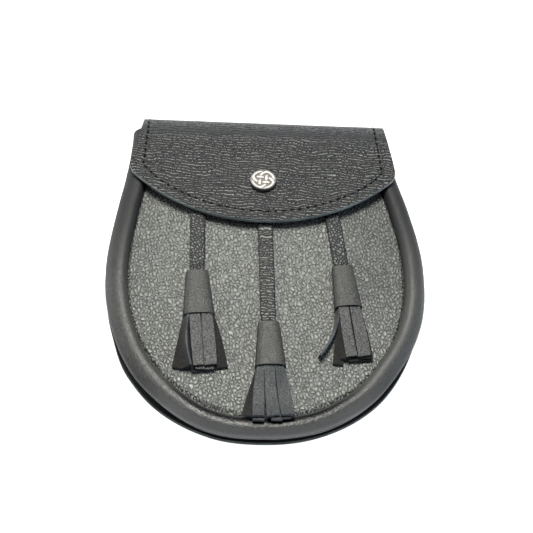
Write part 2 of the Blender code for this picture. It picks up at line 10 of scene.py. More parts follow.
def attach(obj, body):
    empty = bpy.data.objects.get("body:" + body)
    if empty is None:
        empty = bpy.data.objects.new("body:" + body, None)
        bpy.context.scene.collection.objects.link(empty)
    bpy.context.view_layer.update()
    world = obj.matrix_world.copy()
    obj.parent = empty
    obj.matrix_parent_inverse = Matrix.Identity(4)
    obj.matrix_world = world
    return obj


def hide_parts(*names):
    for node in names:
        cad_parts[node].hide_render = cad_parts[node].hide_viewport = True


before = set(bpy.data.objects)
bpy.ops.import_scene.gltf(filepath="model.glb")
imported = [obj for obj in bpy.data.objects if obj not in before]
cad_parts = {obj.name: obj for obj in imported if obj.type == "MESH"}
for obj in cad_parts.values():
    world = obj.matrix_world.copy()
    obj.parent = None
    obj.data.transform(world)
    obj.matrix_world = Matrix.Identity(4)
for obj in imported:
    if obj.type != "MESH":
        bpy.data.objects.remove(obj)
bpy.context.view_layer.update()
MM = 0.001


# ---- studio ------------------------------------------------------------------
# The pouch lies on a plain white table below a soft box that hangs a little behind it and to its
# left. White screens stand all round it. The camera looks down on it from its lower end.
scene = bpy.context.scene
scene.view_settings.view_transform = "Standard"

CAMERA_ELEVATION = radians(53.0)
CAMERA_TURN = radians(-3.03)
CAMERA_ROLL = radians(3.71)
CAMERA_DISTANCE = 0.900
CAMERA_TARGET = Vector((1.25, 4.5, 8.0)) * MM
SENSOR_WIDTH = 36.0
FOCAL_PIXELS = 1583.6
PHOTO_PIXELS = 533.0
TABLE_DROP = 0.02 * MM

back = Vector((sin(CAMERA_TURN) * cos(CAMERA_ELEVATION), -cos(CAMERA_TURN) * cos(CAMERA_ELEVATION),
               sin(CAMERA_ELEVATION)))
level = Vector((cos(CAMERA_TURN), sin(CAMERA_TURN), 0.0))
right = level * cos(CAMERA_ROLL) + back.cross(level) * sin(CAMERA_ROLL)
camera_data = bpy.data.cameras.new("camera")
camera_data.sensor_width = SENSOR_WIDTH
camera_data.lens = SENSOR_WIDTH * FOCAL_PIXELS / PHOTO_PIXELS
camera = bpy.data.objects.new("camera", camera_data)
camera.matrix_world = (Matrix.Translation(CAMERA_TARGET + back * CAMERA_DISTANCE)
                       @ Matrix((right, back.cross(right), back)).transposed().to_4x4())
scene.collection.objects.link(camera)
scene.camera = camera

world = bpy.data.worlds.new("white_screens")
world.use_nodes = True
sky = world.node_tree.nodes["Background"].inputs
sky["Color"].default_value = (0.84, 0.91, 1.0, 1.0)
sky["Strength"].default_value = 0.13
scene.world = world

for name, place_at, size, power, color in (
        ("soft_box", (-0.06, 0.47, 1.13), 0.50, 22.2, (1.0, 0.985, 0.93)),
        ("left_screen", (-1.02, 0.56, 0.34), 0.90, 5.2, (0.94, 1.0, 0.98)),
        ("right_screen", (1.10, 0.10, 0.40), 0.90, 3.2, (0.56, 0.73, 1.0)),
        ("front_screen", (0.10, -1.20, 0.45), 0.90, 1.0, (0.88, 0.94, 1.0))):
    lamp = bpy.data.lights.new(name, "AREA")
    lamp.size = size
    lamp.energy = power
    lamp.color = color
    light = bpy.data.objects.new(name, lamp)
    light.location = place_at
    light.rotation_euler = Vector(place_at).to_track_quat("Z", "Y").to_euler()
    scene.collection.objects.link(light)

floor_mesh = bmesh.new()
bmesh.ops.create_grid(floor_mesh, x_segments=1, y_segments=1, size=3.0)
bmesh.ops.translate(floor_mesh, verts=floor_mesh.verts, vec=(0, 0, -TABLE_DROP))
floor_data = bpy.data.meshes.new("table_top")
floor_mesh.to_mesh(floor_data)
floor_mesh.free()
floor = bpy.data.objects.new("table_top", floor_data)
floor_paint = bpy.data.materials.new("white_table")
floor_paint.use_nodes = True
paint = floor_paint.node_tree.nodes["Principled BSDF"].inputs
paint["Base Color"].default_value = (0.36, 0.36, 0.365, 1)
paint["Roughness"].default_value = 0.6
paint["Emission Color"].default_value = (1, 1, 1, 1)
paint["Emission Strength"].default_value = 1.05
floor_data.materials.append(floor_paint)
scene.collection.objects.link(floor)


# ---- back panel --------------------------------------------------------------
# One flat piece of thick leather, cut to the pouch's outline by hand and dyed black. Its raw edge
# shows below the roll, more of it at the left than at the right. Its top is skived under the flap.
WIDTH = 180.0 * MM
BOTTOM_Y = -108.35 * MM
WIDEST_Y = -6.0 * MM
TAPER = {-1: (11.5 * MM, 110.0 * MM), 1: (19.0 * MM, 130.0 * MM)}
OUTLINE_POWER = 2.08
ROLL_END_Y = 104.2 * MM
BACK_THICKNESS = 2.7 * MM
BACK_INSET = 0.6 * MM
BACK_EDGE_ROUND = 0.35 * MM
BACK_TOP_Y = 94.2 * MM
LAP_Y = 82.6 * MM
LAP_DEPTH = 1.5 * MM
# how far the sewn outline strays from an even one: place along the outline, and millimetres
ROLL_DRIFT = ((0.0, 0.2), (0.75, -0.25), (0.95, -0.3), (1.1, -1.0), (1.25, 0.1), (1.4, 1.8), (1.51, 0.6), (1.6, 0.8),
              (1.68, 0.3), (1.8, -0.9), (1.95, 0.5), (2.2, 0.7), (2.45, 0.3), (2.7, -0.3), (3.0, -0.4))
BACK_DRIFT = ((0.0, -0.2), (0.8, -0.3), (1.0, -0.5), (1.1, -0.8), (1.2, 1.2), (1.28, 1.8), (1.4, 1.4), (1.51, 0.3),
              (1.6, 0.4), (1.72, 0.7), (1.87, -0.6), (2.05, -0.2), (2.4, 0.0), (3.0, -0.5))


def lerp(a, b, t):
    return a + (b - a) * t


def smooth(t):
    t = min(max(t, 0.0), 1.0)
    return t * t * (3 - 2 * t)


def half_width(y, side):
    taper, length = TAPER[side]
    t = min(max((y - WIDEST_Y) / length, 0.0), 1.0)
    return WIDTH / 2 - taper * (1 - cos(pi * t)) / 2


def even_outline(t):
    """The pouch's outer edge: t from 0, top left, by the bottom between 1 and 2, to 3, top right."""
    if 1.0 <= t <= 2.0:
        angle = pi * t
        x = abs(cos(angle)) ** (2 / OUTLINE_POWER) * WIDTH / 2
        y = WIDEST_Y - abs(sin(angle)) ** (2 / OUTLINE_POWER) * (WIDEST_Y - BOTTOM_Y)
        return Vector((x if t > 1.5 else -x, y))
    side = 1 if t > 2.0 else -1
    y = lerp(WIDEST_Y, ROLL_END_Y, t - 2.0 if side > 0 else 1.0 - t)
    return Vector((side * half_width(y, side), y))


def outward(t):
    along = even_outline(min(t + 0.004, 3.0)) - even_outline(max(t - 0.004, 0.0))
    return Vector((along.y, -along.x)).normalized()


def drift(t, marks):
    for (low, start), (high, end) in zip(marks, marks[1:]):
        if t <= high:
            return lerp(start, end, smooth((t - low) / (high - low))) * MM
    return marks[-1][1] * MM


def outline(t, marks=ROLL_DRIFT):
    return even_outline(t) + outward(t) * drift(t, marks)


class Field:
    """A value or colour that changes over a surface: what a shader node puts out."""

    def __init__(self, tree, socket):
        self.tree, self.socket = tree, socket

    def reckon(self, operation, other=0.0):
        return node(self.tree, "Math", {0: self, 1: other}, operation=operation)[0]

    def __add__(self, other):
        return self.reckon("ADD", other)

    def __sub__(self, other):
        return self.reckon("SUBTRACT", other)

    def __rsub__(self, other):
        return node(self.tree, "Math", {0: other, 1: self}, operation="SUBTRACT")[0]

    def __mul__(self, other):
        return self.reckon("MULTIPLY", other)

    def __truediv__(self, other):
        return self.reckon("DIVIDE", other)

    def __abs__(self):
        return self.reckon("ABSOLUTE")

    def ramp(self, low, high, to_low=0.0, to_high=1.0, kind="SMOOTHSTEP"):
        """A smooth step from one range to another."""
        ends = {"Value": self, "From Min": low, "From Max": high, "To Min": to_low, "To Max": to_high}
        return node(self.tree, "MapRange", ends, interpolation_type=kind)["Result"]

    def blend(self, a, b):
        """Colour a where the field is 0, and colour b where it is 1."""
        return node(self.tree, "Mix", {0: self, 6: a, 7: b}, data_type="RGBA")[2]

    def bump(self, depth, under=None):
        """The normal of a relief, as deep as depth where the field is 1, over another normal."""
        inputs = {"Height": self, "Distance": depth, "Strength": 1.0}
        if under:
            inputs["Normal"] = under
        return node(self.tree, "Bump", inputs)["Normal"]


def fields(tree, sockets):
    return {key: Field(tree, socket) for i, socket in enumerate(sockets) for key in (i, socket.name)}


def node(tree, kind, inputs=None, **settings):
    """Add a shader node, set its properties, set or link its inputs, and give its outputs."""
    made = tree.nodes.new("ShaderNode" + kind)
    for key, value in settings.items():
        setattr(made, key, value)
    for key, value in (inputs or {}).items():
        if isinstance(value, Field):
            tree.links.new(value.socket, made.inputs[key])
        else:
            made.inputs[key].default_value = (*value, 1.0) if made.inputs[key].type == "RGBA" else value
    return fields(tree, made.outputs)


def split(tree, vector):
    return node(tree, "SeparateXYZ", {"Vector": vector})


def speckle(tree, vector, scale, detail=2.0, roughness=0.5):
    """Soft noise from 0 to 1."""
    return node(tree, "TexNoise", {"Vector": vector, "Scale": scale, "Detail": detail, "Roughness": roughness})["Fac"]


def group(name, values):
    """Start a shader node group that takes a Vector and some values."""
    tree = bpy.data.node_groups.new(name, "ShaderNodeTree")
    tree.interface.new_socket("Vector", in_out="INPUT", socket_type="NodeSocketVector")
    for label, value in values.items():
        tree.interface.new_socket(label, in_out="INPUT", socket_type="NodeSocketFloat").default_value = value
    return tree, fields(tree, tree.nodes.new("NodeGroupInput").outputs)


def put_out(tree, **results):
    """End a shader node group with what it puts out."""
    for label in results:
        tree.interface.new_socket(label, in_out="OUTPUT", socket_type="NodeSocketFloat")
    end = tree.nodes.new("NodeGroupOutput")
    for label, field in results.items():
        tree.links.new(field.socket, end.inputs[label])


def use(tree, shader_group, inputs):
    """Place a shader node group in a material."""
    return node(tree, "Group", inputs, node_tree=shader_group)


def finish(name, roughness, specular, metallic=0.0):
    """A new material, its node tree and its surface."""
    made = bpy.data.materials.new(name)
    made.use_nodes = True
    surface = made.node_tree.nodes["Principled BSDF"]
    surface.inputs["Roughness"].default_value = roughness
    surface.inputs["Specular IOR Level"].default_value = specular
    surface.inputs["Metallic"].default_value = metallic
    return made, made.node_tree, surface


def cover(surface, color, normal=None, roughness=None):
    """Link the fields that a surface shows."""
    for label, field in (("Base Color", color), ("Normal", normal), ("Roughness", roughness)):
        if field:
            field.tree.links.new(field.socket, surface.inputs[label])


# cells of grain: a pillow in each cell, the crease at its border, and a tone for each cell
grain_group, given = group("leather_grain", {"Cell Size": 2 * MM, "Wander": 0.4, "Crease Width": 0.12,
                                             "Pillow Width": 0.4})
scaled = node(grain_group, "VectorMath", {0: given["Vector"], "Scale": given["Cell Size"].reckon("POWER", -1.0)},
              operation="SCALE")[0]
stray = node(grain_group, "TexNoise", {"Vector": scaled, "Scale": 0.30, "Detail": 2.0})["Color"]
stray = node(grain_group, "VectorMath", {0: stray, 1: (0.5, 0.5, 0.5)}, operation="SUBTRACT")[0]
stray = node(grain_group, "VectorMath", {0: stray, "Scale": given["Wander"]}, operation="SCALE")[0]
moved = node(grain_group, "VectorMath", {0: scaled, 1: stray}, operation="ADD")[0]
cell = {"Vector": moved, "Scale": 1.0, "Randomness": 1.0}
border = node(grain_group, "TexVoronoi", cell, feature="DISTANCE_TO_EDGE", voronoi_dimensions="2D")["Distance"]
cell = node(grain_group, "TexVoronoi", cell, feature="F1", voronoi_dimensions="2D")["Color"]
put_out(grain_group, Height=border.ramp(0.0, given["Pillow Width"], kind="SMOOTHERSTEP"),
        Crease=border.ramp(0.0, given["Crease Width"], 1.0, 0.0),
        Tone=node(grain_group, "SeparateColor", {"Color": cell})[0])

# fine pores of smooth leather
pore_group, given = group("fine_pores", {"Size": 0.8 * MM})
scaled = node(pore_group, "VectorMath", {0: given["Vector"], "Scale": given["Size"].reckon("POWER", -1.0)},
              operation="SCALE")[0]
pits = node(pore_group, "TexVoronoi", {"Vector": scaled, "Scale": 1.0}, feature="F1")["Distance"]
mottle = speckle(pore_group, scaled, 0.45, 4.0, 0.6)
put_out(pore_group, Height=pits.ramp(0.0, 0.55) * 0.5 + mottle, Spots=mottle.ramp(0.35, 0.7))

# the fibres of a cut edge, and the dust on it where the dye hasn't taken
fibre_group, given = group("cut_fibres", {})
fibres = node(fibre_group, "Mapping", {"Vector": given["Vector"], "Scale": (1.0, 1.0, 1 / 2.2)},
              vector_type="TEXTURE")["Vector"]
fibres = speckle(fibre_group, fibres, 1400.0, 4.0, 0.7)
dust = fibres * 0.7 + speckle(fibre_group, given["Vector"], 90.0) * 0.5
put_out(fibre_group, Fibres=fibres, Dust=dust.ramp(0.40, 0.85))


def place(tree, stretch=(1.0, 1.0, 1.0), turn=0.0, layer=None):
    """Object coordinates, or those of a named UV map, stretched and turned."""
    source = node(tree, "UVMap", uv_map=layer)["UV"] if layer else node(tree, "TexCoord")["Object"]
    return node(tree, "Mapping", {"Vector": source, "Scale": [1 / share for share in stretch],
                                  "Rotation": (0, 0, turn)}, vector_type="TEXTURE")["Vector"]


def pores_in(tree, size):
    return use(tree, pore_group, {"Vector": place(tree), "Size": size})


def raw_edge(name, dark, light):
    """The cut edge of dyed leather."""
    made, tree, surface = finish(name, 0.85, 0.25)
    cut = use(tree, fibre_group, {"Vector": place(tree)})
    cover(surface, cut["Dust"].blend(dark, light), cut["Fibres"].bump(0.12 * MM))
    return made


def piece(name, bm, materials, nodes, smooth_angle=35.0):
    """Make the finished object of a bmesh. It rides on the pouch and stands for its CAD nodes."""
    mesh = bpy.data.meshes.new(name)
    bm.to_mesh(mesh)
    bm.free()
    for item in materials:
        mesh.materials.append(item)
    mesh.shade_smooth()
    mesh.set_sharp_from_angle(angle=radians(smooth_angle))
    obj = bpy.data.objects.new(name, mesh)
    scene.collection.objects.link(obj)
    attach(obj, "root")
    if nodes:
        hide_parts(*nodes)
    return obj


def modify(obj, kind, **values):
    change = obj.modifiers.new(kind.title(), kind)
    for key, value in values.items():
        setattr(change, key, value)


def face_outwards(shell):
    bmesh.ops.recalc_face_normals(shell, faces=shell.faces)


back_smooth, tree, surface = finish("back_leather", 0.5, 0.4)
scuffs = speckle(tree, place(tree, (1.0, 3.0, 1.0)), 60.0, 5.0).ramp(0.45, 0.75)
cover(surface, scuffs.blend((0.018, 0.018, 0.019), (0.034, 0.035, 0.036)),
      pores_in(tree, 0.9 * MM)["Height"].bump(0.05 * MM))
back_raw = raw_edge("back_raw_edge", (0.022, 0.028, 0.028), (0.11, 0.13, 0.13))

bm = bmesh.new()
edge_points = [outline(t, BACK_DRIFT) - outward(t) * BACK_INSET for t in (0.03 + 2.94 * i / 300 for i in range(301))]
edge_points = [p for p in edge_points if p.y < BACK_TOP_Y - 0.5 * MM]
edge_points = [Vector((edge_points[0].x, BACK_TOP_Y))] + edge_points + [Vector((edge_points[-1].x, BACK_TOP_Y))]
under_side = bm.faces.new([bm.verts.new((p.x, p.y, 0.0)) for p in edge_points])
grown = bmesh.ops.extrude_face_region(bm, geom=[under_side], use_keep_orig=True)
bmesh.ops.translate(bm, verts=[v for v in grown["geom"] if isinstance(v, bmesh.types.BMVert)],
                    vec=(0, 0, BACK_THICKNESS))
face_outwards(bm)
for face in bm.faces:
    face.material_index = 1 if len(face.verts) == 4 else 0
rims = [e for e in bm.edges if abs(e.link_faces[0].normal.z - e.link_faces[1].normal.z) > 0.9]
bmesh.ops.bevel(bm, geom=rims, offset=BACK_EDGE_ROUND, offset_type="OFFSET", affect="EDGES", segments=2, profile=0.5,
                material=-1)
for y in (LAP_Y - 0.5 * MM, LAP_Y):
    bmesh.ops.bisect_plane(bm, geom=bm.verts[:] + bm.edges[:] + bm.faces[:], plane_co=(0, y, 0), plane_no=(0, 1, 0))
for vert in bm.verts:
    if vert.co.y > LAP_Y - 0.01 * MM and vert.co.z < BACK_THICKNESS / 2:
        vert.co.z += LAP_DEPTH
piece("back_plate", bm, [back_smooth, back_raw], ["back_panel"])


# ---- edge roll ---------------------------------------------------------------
# A strip of soft smooth leather wrapped round a cord and sewn in all round, as the pouch's side
# wall. Fine creases run across it at a slant, where the leather is pulled round the bend.
ROLL_WIDTH = {-1: 12.8 * MM, 1: 11.8 * MM}
ROLL_LEAN = {-1: 0.32, 1: 0.20}
ROLL_HEIGHT_BOTTOM = 11.0 * MM
ROLL_HEIGHT_TOP = 13.6 * MM
LAYER_GAP = 0.3 * MM
ROLL_BASE = BACK_THICKNESS + LAYER_GAP
ROLL_END_ROUND = 4.0 * MM
ROLL_SLACK = 0.022
ROLL_SQUARENESS = 0.93
ROLL_LENGTH = 540.0 * MM
ROLL_GIRTH = 38.0 * MM
CREST_END_Y = 108.35 * MM
FOLD_Y = 109.9 * MM
FOLD_FRONT_Y = 89.0 * MM
FOLD_BACK_Y = 97.0 * MM
FOLD_POWER = 2.15
FLAP_LAYER = 1.2 * MM
FLAP_THICKNESS = 2 * FLAP_LAYER + LAYER_GAP
FLAP_TURN = radians(-1.0)


def roll_width(x):
    return lerp(ROLL_WIDTH[-1], ROLL_WIDTH[1], 0.5 + x / WIDTH)


def crest(y):
    """Height of the roll's crest."""
    return ROLL_BASE + lerp(ROLL_HEIGHT_BOTTOM, ROLL_HEIGHT_TOP, (y - BOTTOM_Y) / (CREST_END_Y - BOTTOM_Y))


FOLD_MIDDLE_Z = (crest(FOLD_FRONT_Y) + LAYER_GAP + FLAP_THICKNESS) / 2


def bend_grid(columns, rows, shape, closed=False, cut=None):
    """A fine grid with each point moved to shape(u, v), u and v from 0 to 1. Its UV map, cut, holds
    the place of each point on the flat leather, in metres."""
    made = bmesh.new()
    bmesh.ops.create_grid(made, x_segments=columns, y_segments=rows, size=0.5)
    layer = made.loops.layers.uv.new("cut")
    for corner in (loop for face in made.faces for loop in face.loops):
        u, v = corner.vert.co.x + 0.5, corner.vert.co.y + 0.5
        corner[layer].uv = cut(u, v) if cut else (u, v)
    for vert in made.verts:
        vert.co = shape(min(max(vert.co.x + 0.5, 0.0), 1.0), min(max(vert.co.y + 0.5, 0.0), 1.0))
    if closed:
        bmesh.ops.remove_doubles(made, verts=made.verts, dist=0.005 * MM)
    made.normal_update()
    return made


def waver(size, *at):
    """Handwork's slow unevenness at a place, at most size either way."""
    return size * noise.noise(Vector(at))


def roll_shape(u, v):
    t = 3.0 * lerp(u, smooth(u), 0.18)
    outer, normal = outline(t), outward(t)
    half = roll_width(outer.x) / 2
    height = (crest(outer.y) - ROLL_BASE) / 2
    middle = outer - normal * half
    middle_z = ROLL_BASE + height
    reach = (outer.y - outer.x * sin(FLAP_TURN) - FOLD_FRONT_Y) / (FOLD_Y - FOLD_FRONT_Y - FLAP_THICKNESS)
    if reach > 0:
        room = FOLD_MIDDLE_Z - FLAP_THICKNESS - LAYER_GAP
        height = min(height, room * max(1 - reach ** FOLD_POWER, 0.0) ** (1 / FOLD_POWER))
    rounding = (outer.y - (ROLL_END_Y - ROLL_END_ROUND)) / ROLL_END_ROUND
    if rounding > 0:
        shrink = max(sqrt(max(1 - rounding ** 2, 0.0)), 0.03)
        half *= shrink
        height *= shrink
    angle = 2 * pi * v
    slack = waver(1.0, outer.x * 70, outer.y * 70, angle * 0.6)
    slack += waver(0.5, outer.x * 190, outer.y * 190, 7 + angle)
    swell = 1 + ROLL_SLACK * slack - 0.012
    lean = lerp(ROLL_LEAN[-1], ROLL_LEAN[1], 0.5 + outer.x / WIDTH) * max(sin(angle), 0.0) ** 2
    lean *= lerp(1.0, -0.4, max(-normal.y, 0.0) ** 4)
    square = ROLL_SQUARENESS if sin(angle) > 0 and cos(angle) > 0 else 1.0
    across = cos(angle) ** square if cos(angle) > 0 else cos(angle)
    rise = sin(angle) ** square if sin(angle) > 0 else sin(angle)
    flat = middle + normal * (half * (swell * across - lean))
    return Vector((flat.x, flat.y, middle_z + height * min(swell, 1.0) * rise))


# The lower end is smoother. Its outer side is painted lighter, a painted reflection of the white table, with a painted
# dark band, painted shade, above it. Near the flap the leather is painted darker, painted shade, and is duller. Both
# seams are painted near black, painted shade, and hatching shows the fine creases.
roll_smooth, tree, surface = finish("roll_leather", 0.38, 0.29)
pores = pores_in(tree, 0.70 * MM)
spot = split(tree, place(tree))
round_it = split(tree, place(tree, layer="cut"))["Y"]
low_end = spot["Y"].ramp(-96 * MM, -72 * MM, 1.0, 0.0)
# towards the flap the roll is painted darker, painted shade, and made duller
near_flap_shade = spot["Y"].ramp(-30 * MM, 50 * MM)
slanted = speckle(tree, place(tree, (0.8, 1.3, 1.0), radians(50), "cut"), 800.0)
hatch = speckle(tree, place(tree, (0.7, 2.6, 1.0), radians(50), "cut"), 1050.0, 1.0)
hatch = hatch.ramp(0.36, 0.64) * (1 - low_end)
# painted reflection: the lower end's outer side is painted lighter
painted_table_reflection = round_it.ramp(3.0 * MM, 9.5 * MM, 1.0, 0.0) * low_end
# painted shade: a dark band between the lighter flank and the crest
painted_dark_band = round_it.ramp(7.0 * MM, 9.5 * MM) * round_it.ramp(12.0 * MM, 14.5 * MM, 1.0, 0.0) * low_end
# painted shade in both seams, bluish in the inner one
outer_seam_shade = round_it.ramp(0.4 * MM, 4.4 * MM, 0.85, 0.0) * (1 - low_end)
inner_seam_shade = round_it.ramp(21 * MM, 27 * MM, 0.0, 0.95)
roll_color = pores["Spots"].blend((0.034, 0.0345, 0.0335), (0.056, 0.057, 0.055))
# painted light: the roll is painted lighter towards the right, where its highlight is brighter
for share, tint in ((spot["X"].ramp(-60 * MM, 60 * MM) * 0.45, (0.072, 0.073, 0.071)),
                    (hatch * 0.42, (0.092, 0.093, 0.089)),
                    (painted_table_reflection, (0.125, 0.128, 0.127)),
                    (painted_dark_band, (0.006, 0.006, 0.007)),
                    (near_flap_shade * 0.85, (0.013, 0.014, 0.015)),
                    (outer_seam_shade, (0.003, 0.003, 0.004)),
                    (inner_seam_shade, (0.003, 0.0045, 0.013))):
    roll_color = share.blend(roll_color, tint)
relief = pores["Height"].bump(0.11 * MM, slanted.bump(0.10 * MM, hatch.bump(0.03 * MM)))
cover(surface, roll_color, relief, pores["Spots"].ramp(0.0, 1.0, 0.34, 0.43) + near_flap_shade * 0.18 - low_end * 0.07)

bm = bend_grid(420, 40, roll_shape, closed=True, cut=lambda u, v: (abs(u - 0.5) * ROLL_LENGTH, v * ROLL_GIRTH))
bmesh.ops.holes_fill(bm, edges=[e for e in bm.edges if e.is_boundary], sides=0)
face_outwards(bm)
roll = piece("padded_roll", bm, [roll_smooth], ["edge_roll"], 60.0)


# ---- front panel -------------------------------------------------------------
# A piece of pebbled leather, 2 mm thick, set in between the two sides of the roll. It is slightly
# domed, dips into the groove beside the roll, and ends open at the pouch's mouth below the flap.
PANEL_DROP = 4.0 * MM
PANEL_DOME = 1.0 * MM
PANEL_TOP_Y = 91.0 * MM
PANEL_THICKNESS = 2.0 * MM
PANEL_DIP = 1.9 * MM
GROOVE_WIDTH = 1.9 * MM
PANEL_TUCK = 0.5 * MM
MEAN_ROLL_WIDTH = (ROLL_WIDTH[-1] + ROLL_WIDTH[1]) / 2


def panel_height(x, y):
    """Height of the front panel's outer face."""
    across = abs(x) / (WIDTH / 2 - MEAN_ROLL_WIDTH)
    along = (y - WIDEST_Y) / (WIDEST_Y - BOTTOM_Y - MEAN_ROLL_WIDTH)
    return crest(y) - PANEL_DROP + PANEL_DOME * max(1 - across ** 2 - along ** 2 * 0.8, 0.0)


def panel_edge(t):
    return outline(t) - outward(t) * (roll_width(outline(t).x) - PANEL_TUCK)


def panel_shape(u, v):
    # u runs round the lower rim from left to right, v from the rim up to the mouth
    rim = panel_edge(1 + u)
    y = lerp(rim.y, PANEL_TOP_Y, v)
    widest = panel_edge(1.0 if u < 0.5 else 2.0)
    climb = (y - WIDEST_Y) / (ROLL_END_Y - WIDEST_Y)
    if climb > 0:
        here = panel_edge(1 - climb if u < 0.5 else 2 + climb)
        x = rim.x * here.x / widest.x
        depth = abs(here.x) - abs(x)
    else:
        x = rim.x
        fall = (WIDEST_Y - y) / (WIDEST_Y - panel_edge(1.5).y)
        oval = min(abs(x / widest.x), 1.0) ** OUTLINE_POWER + fall ** OUTLINE_POWER
        depth = abs(widest.x) * (1 - oval ** (1 / OUTLINE_POWER))
    dip = PANEL_DIP * (1 - smooth(depth / GROOVE_WIDTH))
    wave = waver(0.22 * MM, x * 45, y * 30, 3.0)
    return Vector((x, y, panel_height(x, y) - dip + wave))


panel_pebbled, tree, surface = finish("pebbled_leather", 0.42, 0.55)
grain = use(tree, grain_group, {"Vector": place(tree, (1.0, 0.70, 1.0), 0.22), "Cell Size": 1.80 * MM, "Wander": 2.0,
                                "Crease Width": 0.30, "Pillow Width": 0.38})
spot = split(tree, place(tree))
depth = speckle(tree, place(tree), 620.0, 2.0, 0.6).ramp(0.38, 0.60)
# painted shade: the panel is painted darker at the right, below the flap, and a little at the far left
painted_panel_shade = spot["X"].ramp(25 * MM, 65 * MM) * spot["Y"].ramp(-60 * MM, 0.0)
painted_panel_shade = painted_panel_shade + spot["X"].ramp(-75 * MM, -38 * MM, 0.55, 0.0)
# the pebble tops are painted light grey, a painted sheen on the black leather; the creases are painted near black,
# painted shade
pebble_color = grain["Tone"].blend((0.230, 0.239, 0.220), (0.262, 0.273, 0.252))
pebble_color = (painted_panel_shade * 0.42).blend(pebble_color, (0.040, 0.042, 0.042))
pebble_color = (grain["Crease"] * depth.ramp(0.0, 1.0, 0.45, 1.0)).blend(pebble_color, (0.004, 0.005, 0.006))
rounded = grain["Height"] + depth * -0.25
cover(surface, pebble_color, pores_in(tree, 0.45 * MM)["Height"].bump(0.05 * MM, rounded.bump(0.46 * MM)))
panel_raw = raw_edge("panel_raw_edge", (0.012, 0.014, 0.014), (0.05, 0.06, 0.06))


def thicken(obj, thickness, offset=-1, inner=1, rim=2):
    """Give a sheet of leather its thickness, an inner side and a cut edge."""
    modify(obj, "SOLIDIFY", thickness=thickness, offset=offset, use_even_offset=False, material_offset=inner,
           material_offset_rim=rim)


bm = bend_grid(220, 150, panel_shape)
face_outwards(bm)
front = piece("pebbled_front", bm, [panel_pebbled, panel_raw], ["front_panel"], 60.0)
thicken(front, PANEL_THICKNESS, inner=0, rim=1)


# ---- flap --------------------------------------------------------------------
# Two layers of thin leather, sewn together near their edge. The outer one has a long grain that
# runs across it and is drawn smooth where it bends over the pouch's top. The raw edges are cut flush.
FLAP_EDGE_Y = 29.8 * MM
FLAP_HALF_WIDTH = 78.4 * MM
FLAP_FOLD_HALF_WIDTH = 71.9 * MM
FLAP_EDGE_RADIUS = 104.5 * MM
FLAP_CORNER_RADIUS = 12.0 * MM
FLAP_SAG = 0.2 * MM
SAG_START = 30.0 * MM
NARROW_FROM = 30.0 * MM
NARROW_TO = 82.0 * MM
TAIL_Y = 85.0 * MM
LINING_INSET = 0.15 * MM
LINING_TAIL_GAP = 2.1 * MM
FLAP_SHIFT = -1.3 * MM
FLAP_PIVOT_Y = 60.0 * MM


def fold_quarter(angle):
    return cos(angle) ** (2 / FOLD_POWER), sin(angle) ** (2 / FOLD_POWER)


profile = []
for i in range(60):
    y = lerp(FLAP_EDGE_Y, FOLD_FRONT_Y, i / 60)
    profile.append(Vector((y, crest(y) + LAYER_GAP + FLAP_THICKNESS)))
for i in range(61):
    run, rise = fold_quarter(pi / 2 * (1 - i / 60))
    profile.append(Vector((lerp(FOLD_FRONT_Y, FOLD_Y, run), FOLD_MIDDLE_Z * (1 + rise))))
for i in range(1, 61):
    run, rise = fold_quarter(pi / 2 * i / 60)
    profile.append(Vector((lerp(FOLD_BACK_Y, FOLD_Y, run), FOLD_MIDDLE_Z * (1 - rise))))
profile.append(Vector((TAIL_Y, 0.0)))


def lengths_along(marks):
    """Distance along a polyline to each of its points."""
    return [0.0, *accumulate((there - here).length for here, there in zip(marks, marks[1:]))]


runs = lengths_along(profile)
FLAP_LENGTH = runs[-1]


def between(marks, lengths, distance):
    """The point and direction of a polyline at a distance along it."""
    low, high = 0, len(marks) - 1
    while high - low > 1:
        middle = (low + high) // 2
        if lengths[middle] <= distance:
            low = middle
        else:
            high = middle
    share = (distance - lengths[low]) / (lengths[high] - lengths[low])
    return marks[low].lerp(marks[high], share), (marks[high] - marks[low]).normalized()


def flap_place(x, distance, depth):
    """A point of the flap from its place on the flat leather, at a depth below the outer face."""
    ahead = between(profile, runs, min(distance + 0.4 * MM, FLAP_LENGTH))[0]
    behind = between(profile, runs, max(distance - 0.4 * MM, 0.0))[0]
    along = ahead - behind
    y, z = between(profile, runs, distance)[0] + Vector((along.y, -along.x)).normalized() * depth
    if z > FOLD_MIDDLE_Z:
        free = smooth((FOLD_FRONT_Y - y) / SAG_START)
        z -= FLAP_SAG * (1 - (x / FLAP_HALF_WIDTH) ** 2) * free
        z += waver(0.28 * MM, x * 28, distance * 30, 1.7) * free
    bend = waver(0.16 * MM, x * 60, 3.0, 2.0)
    flat = Vector((x, y - FLAP_PIVOT_Y + bend))
    return Vector((flat.x * cos(FLAP_TURN) - flat.y * sin(FLAP_TURN) + FLAP_SHIFT,
                   flat.x * sin(FLAP_TURN) + flat.y * cos(FLAP_TURN) + FLAP_PIVOT_Y, z))


def flap_lower_edge(x, inset=0.0):
    """Distance along the flap of its lower edge at x, or of a line that far inside it."""
    corner_x = FLAP_HALF_WIDTH - FLAP_CORNER_RADIUS
    reach = FLAP_EDGE_RADIUS - FLAP_CORNER_RADIUS
    edge_radius, corner_radius = FLAP_EDGE_RADIUS - inset, FLAP_CORNER_RADIUS - inset
    if abs(x) < corner_x * edge_radius / reach:
        return FLAP_EDGE_RADIUS - sqrt(edge_radius ** 2 - x ** 2)
    fall = sqrt(max(corner_radius ** 2 - (abs(x) - corner_x) ** 2, 0.0))
    return FLAP_EDGE_RADIUS - sqrt(reach ** 2 - corner_x ** 2) - fall


def flap_half_width(distance):
    return lerp(FLAP_HALF_WIDTH, FLAP_FOLD_HALF_WIDTH, smooth((distance - NARROW_FROM) / (NARROW_TO - NARROW_FROM)))


